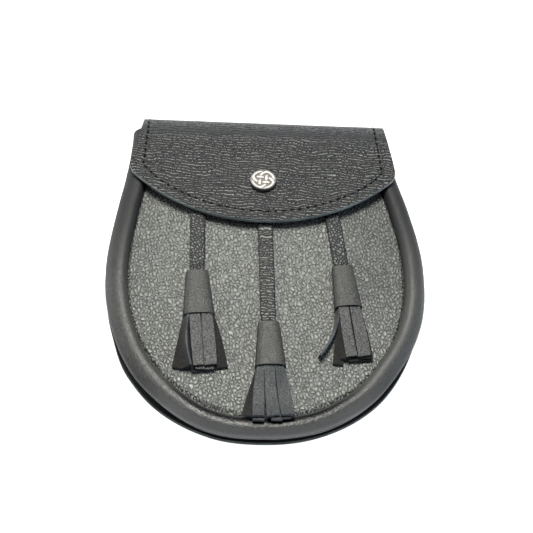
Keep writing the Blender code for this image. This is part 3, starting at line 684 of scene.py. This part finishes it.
# the stitching runs round the flap inside its edge
STITCH_PITCH = 4.7 * MM
STITCH_SIZE = (1.20 * MM, 0.58 * MM, 0.28 * MM)
STITCH_STEP = 0.15 * MM
HEM_MARGIN = 6.7 * MM
SIDE_MARGIN = {-1: 8.0 * MM, 1: 8.2 * MM}
FOLD_MARGIN = {-1: 3.2 * MM, 1: 6.0 * MM}
line = []
for i in range(241):
    side = 1 if i > 120 else -1
    x = sin(-pi / 2 + pi * i / 240) * (FLAP_HALF_WIDTH - SIDE_MARGIN[side])
    inset = lerp(HEM_MARGIN, SIDE_MARGIN[side], smooth((abs(x) - 60 * MM) / (12 * MM)))
    line.append(Vector((x, flap_lower_edge(x, inset))))


def climb(side, share):
    distance = lerp(line[0 if side < 0 else -1].y, FLAP_LENGTH - 4 * MM, share)
    margin = lerp(SIDE_MARGIN[side], FOLD_MARGIN[side], min(share / 0.5, 1.0))
    return Vector((side * (flap_half_width(distance) - margin), distance))


line = [climb(-1, i / 79) for i in range(79, 0, -1)] + line + [climb(1, i / 79) for i in range(1, 80)]
line_runs = lengths_along(line)
hem_marks = []
for i in range(int(line_runs[-1] / STITCH_STEP) + 1):
    hem_marks.append((*between(line, line_runs, i * STITCH_STEP), i * STITCH_STEP))
hem_tree = kdtree.KDTree(len(hem_marks))
for i, (point, direction, run) in enumerate(hem_marks):
    hem_tree.insert((point.x, point.y, 0.0), i)
hem_tree.balance()


def flap_cut(u, v, inset, end):
    """The place on the flat leather of a grid point of the flap."""
    across = sin((u - 0.5) * pi * 0.96) / sin(0.48 * pi)
    x = across * FLAP_HALF_WIDTH
    start = flap_lower_edge(x) + inset
    meet = 50 * MM
    distance = lerp(start, meet, v / 0.45) if v < 0.45 else lerp(meet, end, (v - 0.45) / 0.55)
    ragged = waver(0.05 * MM, x * 900, distance * 900, inset * 1e4)
    rim = max(smooth((abs(across) - 0.985) / 0.015), 1 - smooth(v / 0.02))
    return Vector((across * (flap_half_width(distance) - inset + ragged * rim), distance + ragged * rim))


def flap_sheet(depth, inset, end, columns, rows):
    sheet = bend_grid(columns, rows, lambda u, v: flap_place(*flap_cut(u, v, inset, end), depth),
                      cut=lambda u, v: flap_cut(u, v, inset, end))
    hem = sheet.verts.layers.float.new("hem")
    hem_run = sheet.verts.layers.float.new("hem_run")
    cut = sheet.loops.layers.uv["cut"]
    for vert in sheet.verts:
        flat = vert.link_loops[0][cut].uv
        point, direction, run = hem_marks[hem_tree.find((flat.x, flat.y, 0.0))[1]]
        away = flat - point
        vert[hem] = direction.x * away.y - direction.y * away.x
        vert[hem_run] = run + direction.dot(away)
    return sheet


# rows of long grain: wavy ridges across the leather, each broken into beads and dashes
row_group, given = group("long_grain", {"Row Pitch": 2 * MM, "Dash Length": 2 * MM, "Wander": 2.0})
spot = split(row_group, given["Vector"])
sway = (speckle(row_group, given["Vector"], 60.0, 2.5, 0.55) - 0.5) * given["Wander"]
rows = spot["Y"] / given["Row Pitch"] + sway
row = rows.reckon("FLOOR")
dashes = node(row_group, "CombineXYZ", {"X": spot["X"] / given["Dash Length"] + row * 3.7, "Y": row * 7.31})[0]
dashes = speckle(row_group, dashes, 1.0, 2.0, 0.65).ramp(0.32, 0.54)
put_out(row_group, Ridge=abs(rows.reckon("FRACT") - 0.5).ramp(0.0, 0.46, 1.0, 0.0) * dashes)

flap_grained, tree, surface = finish("long_grain_leather", 0.33, 0.29)
# down is the distance from the lower edge along the flat leather, with the fold from 60 to 98 mm
down = split(tree, place(tree, layer="cut"))["Y"]
drawn = down.ramp(52 * MM, 68 * MM, 0.0, 0.42) * down.ramp(86 * MM, 98 * MM, 1.0, 0.4)
over_fold = down.ramp(63 * MM, 73 * MM) * down.ramp(86 * MM, 98 * MM, 1.0, 0.0)
grain = use(tree, row_group, {"Vector": place(tree, turn=-0.06, layer="cut"), "Row Pitch": 2.0 * MM,
                              "Dash Length": 1.20 * MM, "Wander": 4.4})["Ridge"]
folds = use(tree, row_group, {"Vector": place(tree, layer="cut"), "Row Pitch": 1.9 * MM,
                              "Dash Length": 2.2 * MM, "Wander": 3.0})["Ridge"].ramp(0.25, 0.75)
# painted shade in the stitch holes and the groove that the thread lies in, from the distances to and along the line
hem, hem_run = (node(tree, "Attribute", attribute_name=name)["Fac"] for name in ("hem", "hem_run"))
from_hole = 0.5 - abs((hem_run / STITCH_PITCH).reckon("FRACT") - 0.5)
from_hole = node(tree, "CombineXYZ", {"X": hem / (0.58 * MM), "Y": from_hole * 3.9})[0]
hole = node(tree, "VectorMath", {0: from_hole}, operation="LENGTH")["Value"].ramp(0.75, 1.25, 1.0, 0.0)
sewn = hole.reckon("MAXIMUM", abs(hem).ramp(0.10 * MM, 0.80 * MM, 0.42, 0.0))
# the ridge tops are painted light grey: a painted highlight on the black grain
ridge = (grain - drawn).ramp(0.40, 0.88)
grain_color = ridge.blend(drawn.blend((0.0085, 0.009, 0.011), (0.034, 0.035, 0.038)), (0.182, 0.186, 0.178))
# over the fold the leather is painted light grey, a painted sheen, and its fine wrinkles dark, painted shade
grain_color = over_fold.blend(grain_color, folds.blend((0.080, 0.083, 0.087), (0.004, 0.004, 0.005)))
relief = (grain * drawn.ramp(0.0, 0.42, 1.0, 0.1)).bump(0.55 * MM)
relief = (folds * over_fold).bump(-0.35 * MM, relief)
relief = pores_in(tree, 0.5 * MM)["Height"].bump(0.05 * MM, relief)
cover(surface, sewn.blend(grain_color, (0.002, 0.002, 0.002)), (1 - sewn).bump(0.35 * MM, relief),
      ridge.ramp(0.0, 1.0, 0.46, 0.30))
flap_raw = raw_edge("flap_raw_edge", (0.19, 0.225, 0.22), (0.58, 0.65, 0.66))
flesh, tree, surface = finish("flesh_side", 0.9, 0.2)
nap = speckle(tree, place(tree), 700.0, 5.0, 0.7)
cover(surface, nap.blend((0.012, 0.012, 0.012), (0.032, 0.032, 0.033)), nap.bump(0.10 * MM))

flap = piece("outer_flap", flap_sheet(0.0, 0.0, FLAP_LENGTH, 180, 190),
             [flap_grained, flesh, flap_raw], ["flap"], 60.0)
lining_end = FLAP_LENGTH - (BACK_TOP_Y + LINING_TAIL_GAP - TAIL_Y)
lining = piece("inner_flap", flap_sheet(FLAP_LAYER + LAYER_GAP * 0.35, LINING_INSET, lining_end, 150, 130),
               [flesh, back_smooth, flap_raw], ["flap_lining"], 60.0)
for sheet in (flap, lining):
    thicken(sheet, FLAP_LAYER)

# matt black thread: it shows as a short stitch at each hole, and runs sunk in its groove between
thread, tree, surface = finish("waxed_thread", 0.95, 0.1)
twist = speckle(tree, place(tree), 2600.0)
cover(surface, twist.blend((0.001, 0.001, 0.001), (0.006, 0.006, 0.006)), twist.bump(0.06 * MM))
bm = bmesh.new()
for i in range(1, int(line_runs[-1] / STITCH_PITCH)):
    middle, direction = between(line, line_runs, i * STITCH_PITCH)
    depth = 0.06 * MM if flap_place(middle.x, middle.y, 0.0).z > 3 * MM else 0.38 * MM
    here = flap_place(middle.x, middle.y, depth)
    ahead = flap_place(middle.x + direction.x * 0.5 * MM, middle.y + direction.y * 0.5 * MM, depth)
    beside = flap_place(middle.x - direction.y * 0.5 * MM, middle.y + direction.x * 0.5 * MM, depth)
    along = (ahead - here).normalized()
    up = along.cross(beside - here).normalized()
    turn = Matrix((along, up.cross(along), up)).transposed().to_4x4()
    stitch_place = Matrix.Translation(here) @ turn @ Matrix.Diagonal((*STITCH_SIZE, 1.0))
    bmesh.ops.create_uvsphere(bm, u_segments=8, v_segments=6, radius=1.0, matrix=stitch_place)
piece("flap_stitching", bm, [thread], [])


# ---- snap --------------------------------------------------------------------
# A pressed metal cap with a rounded rim and a raised knot of four interlaced strands, riveted
# through the flap to a spring socket. The metal is darkened in the recesses and polished on top.
BUTTON_X = -1.1 * MM
BUTTON_Y = 58.1 * MM
BUTTON_RADIUS = 7.75 * MM
BUTTON_HEIGHT = 2.3 * MM
KNOT_DEPTH = 0.60 * MM
POST_RADIUS = 2.2 * MM
SOCKET_RADIUS = 5.0 * MM
SOCKET_HOLE_RADIUS = 1.7 * MM
flap_top = crest(BUTTON_Y) + LAYER_GAP + FLAP_THICKNESS - FLAP_SAG * smooth((FOLD_FRONT_Y - BUTTON_Y) / SAG_START)
seat = flap_top + LAYER_GAP
floor_z = seat + BUTTON_HEIGHT - KNOT_DEPTH
cap_top = seat + BUTTON_HEIGHT
socket_top = flap_top - FLAP_THICKNESS - LAYER_GAP
socket_low = panel_height(0, BUTTON_Y) + 1.5 * MM
r = BUTTON_RADIUS  # the cap's points are shares of it


def turned(points, steps):
    """Turn a half profile of radius and height round the snap's axis."""
    made = bmesh.new()
    verts = [made.verts.new((radius, 0.0, z)) for radius, z in points]
    edges = [made.edges.new(pair) for pair in zip(verts, verts[1:])]
    bmesh.ops.spin(made, geom=verts + edges, axis=(0, 0, 1), cent=(0, 0, 0), angle=2 * pi, steps=steps, use_merge=True)
    bmesh.ops.remove_doubles(made, verts=made.verts, dist=0.01 * MM)
    face_outwards(made)
    return made


def add_to(target, part):
    """Add one bmesh to another and free it."""
    held = bpy.data.meshes.new("held")
    part.to_mesh(held)
    part.free()
    target.from_mesh(held)
    bpy.data.meshes.remove(held)


bm = turned([(0.0, floor_z + 0.10 * MM), (r * 0.45, floor_z + 0.08 * MM), (r * 0.80, floor_z),
             (r * 0.84, floor_z + 0.05 * MM), (r * 0.855, cap_top - 0.18 * MM), (r * 0.885, cap_top),
             (r * 0.92, cap_top - 0.10 * MM), (r * 0.95, cap_top - 0.34 * MM), (r * 0.975, cap_top - 0.70 * MM),
             (r * 0.992, cap_top - 1.15 * MM), (r, seat + 0.70 * MM), (r * 0.985, seat + 0.25 * MM), (r * 0.93, seat),
             (POST_RADIUS, seat), (POST_RADIUS, socket_top),
             (SOCKET_RADIUS, socket_top), (SOCKET_RADIUS, socket_low), (SOCKET_HOLE_RADIUS, socket_low),
             (SOCKET_HOLE_RADIUS, socket_top - 0.1 * MM), (0.0, socket_top - 0.1 * MM)], 72)

# a strand's points: place on the cap and height, over its first crossing and under its second
STRAND = ((0.31, 0.60, 0.10), (0.29, 0.48, 0.45), (0.265, 0.36, 0.72), (0.25, 0.23, 0.85), (0.24, 0.08, 0.66),
          (0.23, -0.06, 0.34), (0.21, -0.24, 0.02), (0.175, -0.40, 0.34), (0.10, -0.54, 0.62), (-0.05, -0.67, 0.74),
          (-0.25, -0.75, 0.74), (-0.46, -0.68, 0.70), (-0.63, -0.53, 0.66), (-0.75, -0.33, 0.60), (-0.81, -0.10, 0.50),
          (-0.83, 0.10, 0.25))
STRAND_HALF_WIDTH = 0.80 * MM
STRAND_RISE = 0.55 * MM
STRAND_THICKNESS = 0.34 * MM


def strand_point(share):
    """A point of a strand, on a smooth curve through its table."""
    at = share * (len(STRAND) - 1)
    i = min(int(at), len(STRAND) - 2)
    t = at - i
    p0, p1, p2, p3 = (Vector(STRAND[min(max(k, 0), len(STRAND) - 1)]) for k in (i - 1, i, i + 1, i + 2))
    return 0.5 * (2 * p1 + (p2 - p0) * t + (2 * p0 - 5 * p1 + 4 * p2 - p3) * t * t
                  + (3 * p1 - p0 - 3 * p2 + p3) * t ** 3)


def strand_shape(u, v):
    here = strand_point(u)
    ahead, behind = strand_point(min(u + 0.01, 1.0)), strand_point(max(u - 0.01, 0.0))
    direction = Vector((ahead.x - behind.x, ahead.y - behind.y)).normalized()
    taper = sqrt(max(1 - (2 * u - 1) ** 10, 0.02))
    side = STRAND_HALF_WIDTH * cos(pi * v) * taper
    height = STRAND_RISE * max(here.z, 0.0) + STRAND_THICKNESS * sin(pi * v) ** 0.35 * taper
    return Vector((here.x * r - direction.y * side, here.y * r + direction.x * side,
                   floor_z - STRAND_THICKNESS + height))


def face_up(sheet, up=True):
    """Turn the faces of an open sheet up, or down."""
    if (sum(face.normal.z for face in sheet.faces) < 0) == up:
        bmesh.ops.reverse_faces(sheet, faces=sheet.faces)


for quarter in range(4):
    strand = bend_grid(90, 10, strand_shape)
    face_up(strand)
    bmesh.ops.solidify(strand, geom=list(strand.faces), thickness=0.25 * MM)
    bmesh.ops.rotate(strand, verts=strand.verts, cent=(0, 0, 0), matrix=Matrix.Rotation(quarter * pi / 2, 3, "Z"))
    add_to(bm, strand)
bmesh.ops.translate(bm, verts=bm.verts, vec=(BUTTON_X, BUTTON_Y, 0))

silver, tree, surface = finish("antiqued_silver", 0.3, 0.5, metallic=1.0)
tarnish = speckle(tree, place(tree), 900.0, 3.0)
polished = split(tree, place(tree))["Z"].ramp(floor_z + 0.08 * MM, floor_z + 0.30 * MM)
polished = polished * tarnish.ramp(0.25, 0.5, 0.88, 1.0)
cover(surface, polished.blend((0.160, 0.153, 0.144), (0.50, 0.48, 0.455)), tarnish.bump(0.02 * MM),
      polished.ramp(0.0, 1.0, 0.66, 0.64))
piece("knot_snap", bm, [silver], ["snap_button"], 50.0)

# the stud below it is riveted to the front panel
nickel, tree, surface = finish("nickel_stud", 0.35, 0.5, metallic=1.0)
wear = speckle(tree, place(tree), 500.0, 3.0)
cover(surface, wear.blend((0.45, 0.44, 0.42), (0.66, 0.65, 0.63)))
stud_low = panel_height(0, BUTTON_Y) + 0.1 * MM
bm = turned([(0.0, stud_low), (4.4 * MM, stud_low), (4.4 * MM, stud_low + 0.5 * MM), (3.9 * MM, stud_low + 0.8 * MM),
             (1.2 * MM, stud_low + 0.9 * MM), (1.0 * MM, stud_low + 1.5 * MM), (1.3 * MM, stud_low + 2.0 * MM),
             (1.1 * MM, stud_low + 2.4 * MM), (0.0, stud_low + 2.5 * MM)], 32)
bmesh.ops.translate(bm, verts=bm.verts, vec=(BUTTON_X, BUTTON_Y, 0))
piece("snap_stud_pin", bm, [nickel], ["snap_stud"])


# ---- tassel straps -----------------------------------------------------------
# Three flat straps of crinkled leather, about 8.6 mm wide, hang from below the flap. The cut edges
# show a little of the raw leather, and each strap ends inside the collar of its tassel.
TASSELS = {
    "left": dict(strap_top=(-38.6, 46.0), collar_top=(-38.0, -6.1), collar_foot=(-36.2, -36.1),
                 top_width=12.8, foot_width=17.8),
    "center": dict(strap_top=(0.0, 42.0), collar_top=(2.1, -39.8), collar_foot=(3.1, -68.6),
                   top_width=12.0, foot_width=17.0),
    "right": dict(strap_top=(38.1, 46.0), collar_top=(43.6, -0.8), collar_foot=(46.2, -29.2),
                  top_width=12.0, foot_width=15.7),
}
STRAP_WIDTH = 8.6 * MM
STRAP_THICKNESS = 2.0 * MM
STRAP_END_WIDTH = 7.2 * MM
STRAP_INSIDE = 7.0 * MM
STRAP_CLIMB = 7.0 * MM
STRAP_EDGE_ROUND = 0.50 * MM
COLLAR_TOP_HEIGHT = 6.0 * MM
COLLAR_FOOT_HEIGHT = 7.4 * MM
COLLAR_WALL = 0.9 * MM


def point_mm(pair):
    return Vector((pair[0] * MM, pair[1] * MM))


def heading(step):
    """The direction of a step seen from above, and the one to its left."""
    ahead = Vector((step[0], step[1])).normalized()
    return ahead, Vector((-ahead.y, ahead.x))


# the middle strap is wrinkled across, the outer two are pebbled; all are darker along both edges
strap_finishes = {}
for kind in ("pebbled", "wrinkled"):
    made, tree, surface = finish(kind + "_strap_leather", 0.40, 0.30)
    if kind == "pebbled":
        grain = use(tree, grain_group, {"Vector": place(tree, (1.0, 0.8, 1.0), 0.4), "Cell Size": 1.75 * MM,
                                        "Wander": 0.8, "Crease Width": 0.26, "Pillow Width": 0.42})
        height = grain["Height"]
        lit = height.ramp(0.12, 0.75) * grain["Tone"].ramp(0.1, 0.9, 0.50, 1.0)
        light = (0.215, 0.221, 0.209)
    else:
        ruffle = node(tree, "TexNoise", {"Vector": place(tree), "Scale": 230.0, "Detail": 1.5})["Color"]
        ruffle = node(tree, "VectorMath", {0: ruffle, 1: (3.6 * MM, 3.6 * MM, 0.0), 2: place(tree)},
                      operation="MULTIPLY_ADD")[0]
        height = use(tree, row_group, {"Vector": ruffle, "Row Pitch": 2.0 * MM, "Dash Length": 1.3 * MM,
                                       "Wander": 3.0})["Ridge"]
        lit = height.ramp(0.30, 0.85)
        light = (0.235, 0.241, 0.228)
    edge = abs(split(tree, place(tree, layer="cut"))["X"] - 0.5).ramp(0.435, 0.46)
    cover(surface, edge.blend(lit.blend((0.012, 0.0125, 0.014), light), (0.028, 0.031, 0.038)),
          pores_in(tree, 0.5 * MM)["Height"].bump(0.06 * MM, (height * (1 - edge)).bump(0.60 * MM)))
    strap_finishes[kind] = made
strap_raw = raw_edge("strap_raw_edge", (0.015, 0.018, 0.024), (0.06, 0.07, 0.10))

for side, row in TASSELS.items():
    start, end = point_mm(row["strap_top"]), point_mm(row["collar_top"])
    along, across = heading(end - start)
    length = (end - start).length + STRAP_INSIDE

    def strap_shape(u, v):
        distance = length * v
        entering = smooth((distance - (length - STRAP_INSIDE - STRAP_CLIMB)) / STRAP_CLIMB)
        half = lerp(STRAP_WIDTH, STRAP_END_WIDTH, entering) / 2
        sway = waver(0.10 * MM, distance * 160, 2.0 * u, 5.0)
        spot = start + along * distance + across * ((2 * u - 1) * (half + sway))
        climb = (COLLAR_TOP_HEIGHT - STRAP_THICKNESS) / 2 * entering
        ripple = waver(0.12 * MM, distance * 240, 3.0 * u, 1.0)
        round_off = -STRAP_EDGE_ROUND * (2 * u - 1) ** 8
        return Vector((spot.x, spot.y,
                       panel_height(*spot) + LAYER_GAP + STRAP_THICKNESS + climb + ripple + round_off))

    bm = bend_grid(20, ceil(length / (0.9 * MM)), strap_shape)
    face_outwards(bm)
    face_up(bm)
    top = strap_finishes["wrinkled" if side == "center" else "pebbled"]
    strap = piece("tassel_strap_" + side, bm, [top, flesh, strap_raw], ["strap_" + side],
                  60.0)
    thicken(strap, STRAP_THICKNESS)


# ---- tassel collars ----------------------------------------------------------
# A piece of smooth leather rolled to a flattened cone and glued at the back. It grips the strap at its
# top and the strips at its foot.
collar_smooth, tree, surface = finish("collar_leather", 0.42, 0.26)
faint = speckle(tree, place(tree, (1.0, 1.8, 1.0), 0.7), 1250.0)
collar_color = faint.ramp(0.36, 0.64).blend((0.020, 0.0205, 0.020), (0.092, 0.092, 0.087))
# painted shade: the collar is painted darker and bluer where it turns down at its sides
sides = split(tree, node(tree, "NewGeometry")["Normal"])["Z"].ramp(0.30, 0.95, 0.75, 0.0)
cover(surface, sides.blend(collar_color, (0.012, 0.013, 0.018)),
      pores_in(tree, 0.7 * MM)["Height"].bump(0.15 * MM, faint.bump(0.16 * MM)))
collar_raw = raw_edge("collar_raw_edge", (0.03, 0.032, 0.034), (0.12, 0.13, 0.135))


def collar_frame(row, v):
    """The middle, half width and half height of a collar, v from 0 at its top to 1 at its foot."""
    middle = point_mm(row["collar_top"]).lerp(point_mm(row["collar_foot"]), v)
    half = lerp(row["top_width"], row["foot_width"], v) * MM / 2
    return middle, half, lerp(COLLAR_TOP_HEIGHT, COLLAR_FOOT_HEIGHT, v) / 2


def round_edges(obj, width):
    modify(obj, "BEVEL", width=width, segments=2, limit_method="ANGLE", angle_limit=radians(50))


def flattened(angle):
    """A point of a unit ring with a flattened top."""
    sideways = abs(cos(angle)) ** 0.64 * (1 if cos(angle) > 0 else -1)
    return sideways, abs(sin(angle)) ** 0.82 * (1 if sin(angle) > 0 else -1)


for side, row in TASSELS.items():
    across = heading(point_mm(row["collar_foot"]) - point_mm(row["collar_top"]))[1]

    def collar_shape(u, v):
        middle, half, height = collar_frame(row, v)
        sideways, rise = flattened(2 * pi * u)
        dent = waver(0.10 * MM, 3 * sideways + row["top_width"], 3 * rise, 4 * v)
        flat = middle + across * ((half + dent - 0.05 * MM) * sideways)
        return Vector((flat.x, flat.y, panel_height(*middle) + LAYER_GAP + height + (height + min(dent, 0.0)) * rise))

    bm = bend_grid(96, 36, collar_shape, closed=True)
    face_outwards(bm)
    collar = piece("tassel_collar_" + side, bm, [collar_smooth, flesh, collar_raw], ["collar_" + side],
                   60.0)
    thicken(collar, COLLAR_WALL)
    round_edges(collar, 0.18 * MM)


# ---- tassel fringes ----------------------------------------------------------
# Strips cut from grained leather, 1.3 mm thick, held in the collar. Some lie with the grain up, some
# are turned over and show the suede, and some stand on edge and show the pale cut side.
HEAD_RECESS = 1.5 * MM
HEAD_GAP = 0.5 * MM
STRIP_THICKNESS = 1.3 * MM
STRIP_ROOT = 4.0 * MM
# each strip at the collar's foot, half way and at its tip: place, height of its middle above the
# panel, degrees that its right edge is turned up, and width; last, how it is cupped, and its face
STRIPS = {
    "left": (
        ((-38.4, -36.9, 6.1, 2, 6.0), (-37.2, -52.5, 4.9, 0, 6.0), (-35.6, -67.8, 3.6, 0, 5.6), 0.0, "grain"),
        ((-31.9, -36.5, 5.9, -8, 6.0), (-30.3, -52.3, 4.9, 0, 6.7), (-29.1, -67.4, 3.6, 0, 6.9), 0.0, "grain"),
        ((-43.3, -37.5, 4.8, 55, 4.4), (-44.3, -53.0, 3.3, 46, 6.6), (-42.3, -68.4, 2.2, 30, 7.6), 0.9, "suede"),
        ((-42.6, -37.5, 3.6, 10, 4.6), (-44.9, -52.6, 2.0, 5, 5.4), (-47.2, -68.1, 0.9, 0, 5.8), 0.3, "suede"),
        ((-30.3, -36.5, 4.2, 0, 5.2), (-26.4, -52.0, 2.8, 0, 6.6), (-23.3, -67.6, 1.1, 0, 6.9), -0.3, "suede"),
        ((-37.0, -37.0, 4.2, 0, 5.4), (-36.0, -53.0, 3.2, 0, 5.4), (-34.8, -69.4, 2.0, 0, 5.0), 0.0, "grain"),
        ((-32.5, -37.0, 3.0, 0, 5.4), (-31.0, -53.0, 2.2, 0, 5.4), (-29.6, -69.4, 1.9, 0, 5.0), 0.0, "grain"),
        ((-36.5, -37.0, 1.8, 0, 8.0), (-36.6, -53.0, 1.2, 0, 11.4), (-34.3, -70.0, 0.8, 0, 9.8), 0.0, "suede"),
    ),
    "center": (
        ((-2.4, -71.3, 5.8, 14, 4.6), (-3.3, -86.3, 4.6, 4, 6.0), (-3.4, -100.7, 3.6, 0, 6.2), 0.0, "grain"),
        ((2.5, -70.9, 6.2, 0, 5.7), (3.3, -86.2, 4.7, 0, 6.1), (4.4, -100.3, 3.6, 0, 7.0), 0.0, "grain"),
        ((8.0, -70.7, 5.8, -14, 5.2), (10.4, -86.0, 4.6, -3, 7.0), (12.2, -99.6, 3.6, 0, 7.2), 0.0, "grain"),
        ((-3.2, -71.5, 4.0, 10, 4.2), (-6.9, -87.6, 2.8, 5, 5.8), (-9.2, -99.4, 1.9, 0, 6.4), 0.2, "suede"),
        ((-1.5, -71.0, 4.4, 0, 5.0), (-2.6, -86.0, 3.0, 0, 5.8), (-3.4, -102.5, 2.0, 0, 6.2), 0.0, "grain"),
        ((4.0, -71.0, 4.4, 0, 5.0), (5.2, -86.0, 3.0, 0, 5.4), (6.2, -102.2, 2.0, 0, 5.6), 0.0, "grain"),
        ((7.6, -71.0, 3.6, 0, 5.0), (9.4, -86.0, 2.6, 0, 5.4), (11.0, -101.0, 1.9, 0, 5.6), 0.0, "suede"),
    ),
    "right": (
        ((43.5, -30.8, 6.1, 4, 5.6), (45.2, -46.7, 4.8, 0, 5.9), (47.2, -60.2, 3.6, 0, 6.3), 0.0, "grain"),
        ((49.7, -30.2, 5.9, -6, 6.0), (52.3, -46.4, 4.8, 0, 6.8), (54.1, -59.7, 3.6, 0, 7.0), 0.0, "grain"),
        ((50.1, -30.6, 4.3, -6, 6.0), (53.0, -46.2, 3.3, -4, 7.3), (55.2, -60.4, 2.3, 0, 7.4), 0.0, "suede"),
        ((42.4, -31.0, 4.6, 0, 4.8), (42.7, -45.7, 3.4, 0, 5.2), (43.9, -61.0, 2.2, 0, 5.8), 0.0, "suede"),
        ((42.0, -31.4, 3.3, 0, 4.6), (41.0, -47.8, 2.0, 0, 5.2), (39.7, -64.0, 0.9, 0, 5.8), 0.0, "suede"),
        ((40.2, -31.0, 4.0, 62, 3.4), (37.4, -45.4, 3.0, 74, 4.4), (29.8, -60.0, 2.5, 78, 4.6), 0.0, "suede"),
        ((46.0, -31.0, 3.4, 0, 5.4), (47.4, -46.0, 2.2, 0, 6.0), (49.0, -61.8, 1.5, 0, 7.0), 0.0, "suede"),
        ((49.0, -31.0, 2.6, 0, 5.4), (52.0, -46.0, 1.7, 0, 6.0), (54.4, -61.3, 0.9, 0, 7.2), 0.0, "suede"),
    ),
}

strip_grained, tree, surface = finish("strip_leather", 0.48, 0.38)
pores = pores_in(tree, 0.62 * MM)
slant = speckle(tree, place(tree, (1.0, 1.7, 1.0), 0.6), 1250.0)
hatched = slant.ramp(0.38, 0.62) * pores["Height"].ramp(0.3, 0.9, 0.45, 1.0)
# the middle tassel is a little darker and bluer
middle_tassel = abs(split(tree, place(tree))["X"] - 3.0 * MM).ramp(14 * MM, 20 * MM, 1.0, 0.0)
strip_light = middle_tassel.blend((0.108, 0.111, 0.108), (0.074, 0.081, 0.086))
cover(surface, hatched.blend((0.012, 0.013, 0.014), strip_light),
      pores["Height"].bump(0.26 * MM, slant.bump(0.20 * MM)))
suede, tree, surface = finish("suede", 0.95, 0.15)
surface.inputs["Sheen Weight"].default_value = 0.15
nap = speckle(tree, place(tree), 900.0, 5.0, 0.75)
cover(surface, nap.ramp(0.3, 0.7).blend((0.010, 0.010, 0.010), (0.034, 0.032, 0.031)), nap.bump(0.14 * MM))
strip_raw = raw_edge("strip_raw_edge", (0.035, 0.040, 0.046), (0.13, 0.15, 0.17))


def support_height(x, y):
    """What a strip lies on: the front panel, or the roll beyond it."""
    middle_y = BOTTOM_Y + MEAN_ROLL_WIDTH / 2 + x * x / WIDTH * 0.9
    across = (y - middle_y) / (MEAN_ROLL_WIDTH / 2)
    if abs(across) >= 1:
        return panel_height(x, y)
    half = (crest(y) - ROLL_BASE) / 2
    return max(panel_height(x, y), ROLL_BASE + half + half * sqrt(1 - across ** 2))


for side, row in TASSELS.items():
    along, across = heading(point_mm(row["collar_foot"]) - point_mm(row["collar_top"]))
    fringe = bmesh.new()
    for number, (at_foot, half_way, at_tip, cup, top) in enumerate(STRIPS[side]):
        stations = []
        for x, y, lift, turn, width in (at_foot, half_way, at_tip):
            z = support_height(x * MM, y * MM) + lift * MM
            stations.append(Vector((x * MM, y * MM, z, radians(turn), width * MM)))
        inside = point_mm(at_foot).lerp(point_mm(row["collar_foot"]), 0.2) - along * STRIP_ROOT
        root_z = panel_height(*inside) + lerp(at_foot[2] * MM, LAYER_GAP + COLLAR_FOOT_HEIGHT / 2, 0.35)
        stations.insert(0, Vector((inside.x, inside.y, root_z, stations[0][3], stations[0][4] * 0.8)))

        def strip_shape(u, v):
            # v from 0 to 0.1 lies inside the collar, the rest runs to the tip
            if v < 0.1:
                here = stations[0].lerp(stations[1], v / 0.1)
                slope = stations[1] - stations[0]
            else:
                t = (v - 0.1) / 0.9
                low, middle, high = stations[1:]
                pull = 2 * middle - 0.5 * (low + high)
                here = low * (1 - t) ** 2 + pull * (2 * t * (1 - t)) + high * t ** 2
                slope = (pull - low) * (1 - t) + (high - pull) * t
            direction, sideways = heading(slope)
            outside = smooth((v - 0.15) / 0.5)
            offset = (2 * u - 1) * here[4] / 2
            bow = cup * outside * offset ** 2 / (2 * here[4])
            turn = here[3]
            flutter = waver(0.20 * MM * outside, v * 3.0, number * 4.0, 1.0)
            skew = waver(0.45 * MM * (2 * u - 1), number * 3.3, 1.0, 2.0) * smooth((v - 0.9) / 0.1)
            spot = Vector((here[0], here[1])) + sideways * (offset * cos(turn) - bow * sin(turn)) + direction * skew
            return Vector((spot.x, spot.y, here[2] + flutter + offset * sin(turn) + bow * cos(turn)))

        strip = bend_grid(12, 46, strip_shape)
        face_up(strip, top == "grain")
        add_to(fringe, strip)

    def head_shape(u, v):
        middle, half, height = collar_frame(row, 1.0)
        middle = middle - along * HEAD_RECESS
        sideways, rise = flattened(2 * pi * u)
        flat = middle + across * ((half - COLLAR_WALL - HEAD_GAP) * sideways * max(v, 0.001))
        return Vector((flat.x, flat.y, panel_height(*middle) + LAYER_GAP + height
                       + (height - COLLAR_WALL - HEAD_GAP) * rise * v))

    head = bend_grid(48, 6, head_shape, closed=True)
    for face in head.faces:
        face.material_index = 1
    add_to(fringe, head)
    tassel = piece("tassel_fringe_" + side, fringe, [strip_grained, suede, strip_raw], ["fringe_" + side],
                   60.0)
    thicken(tassel, STRIP_THICKNESS, offset=0)
    round_edges(tassel, 0.12 * MM)
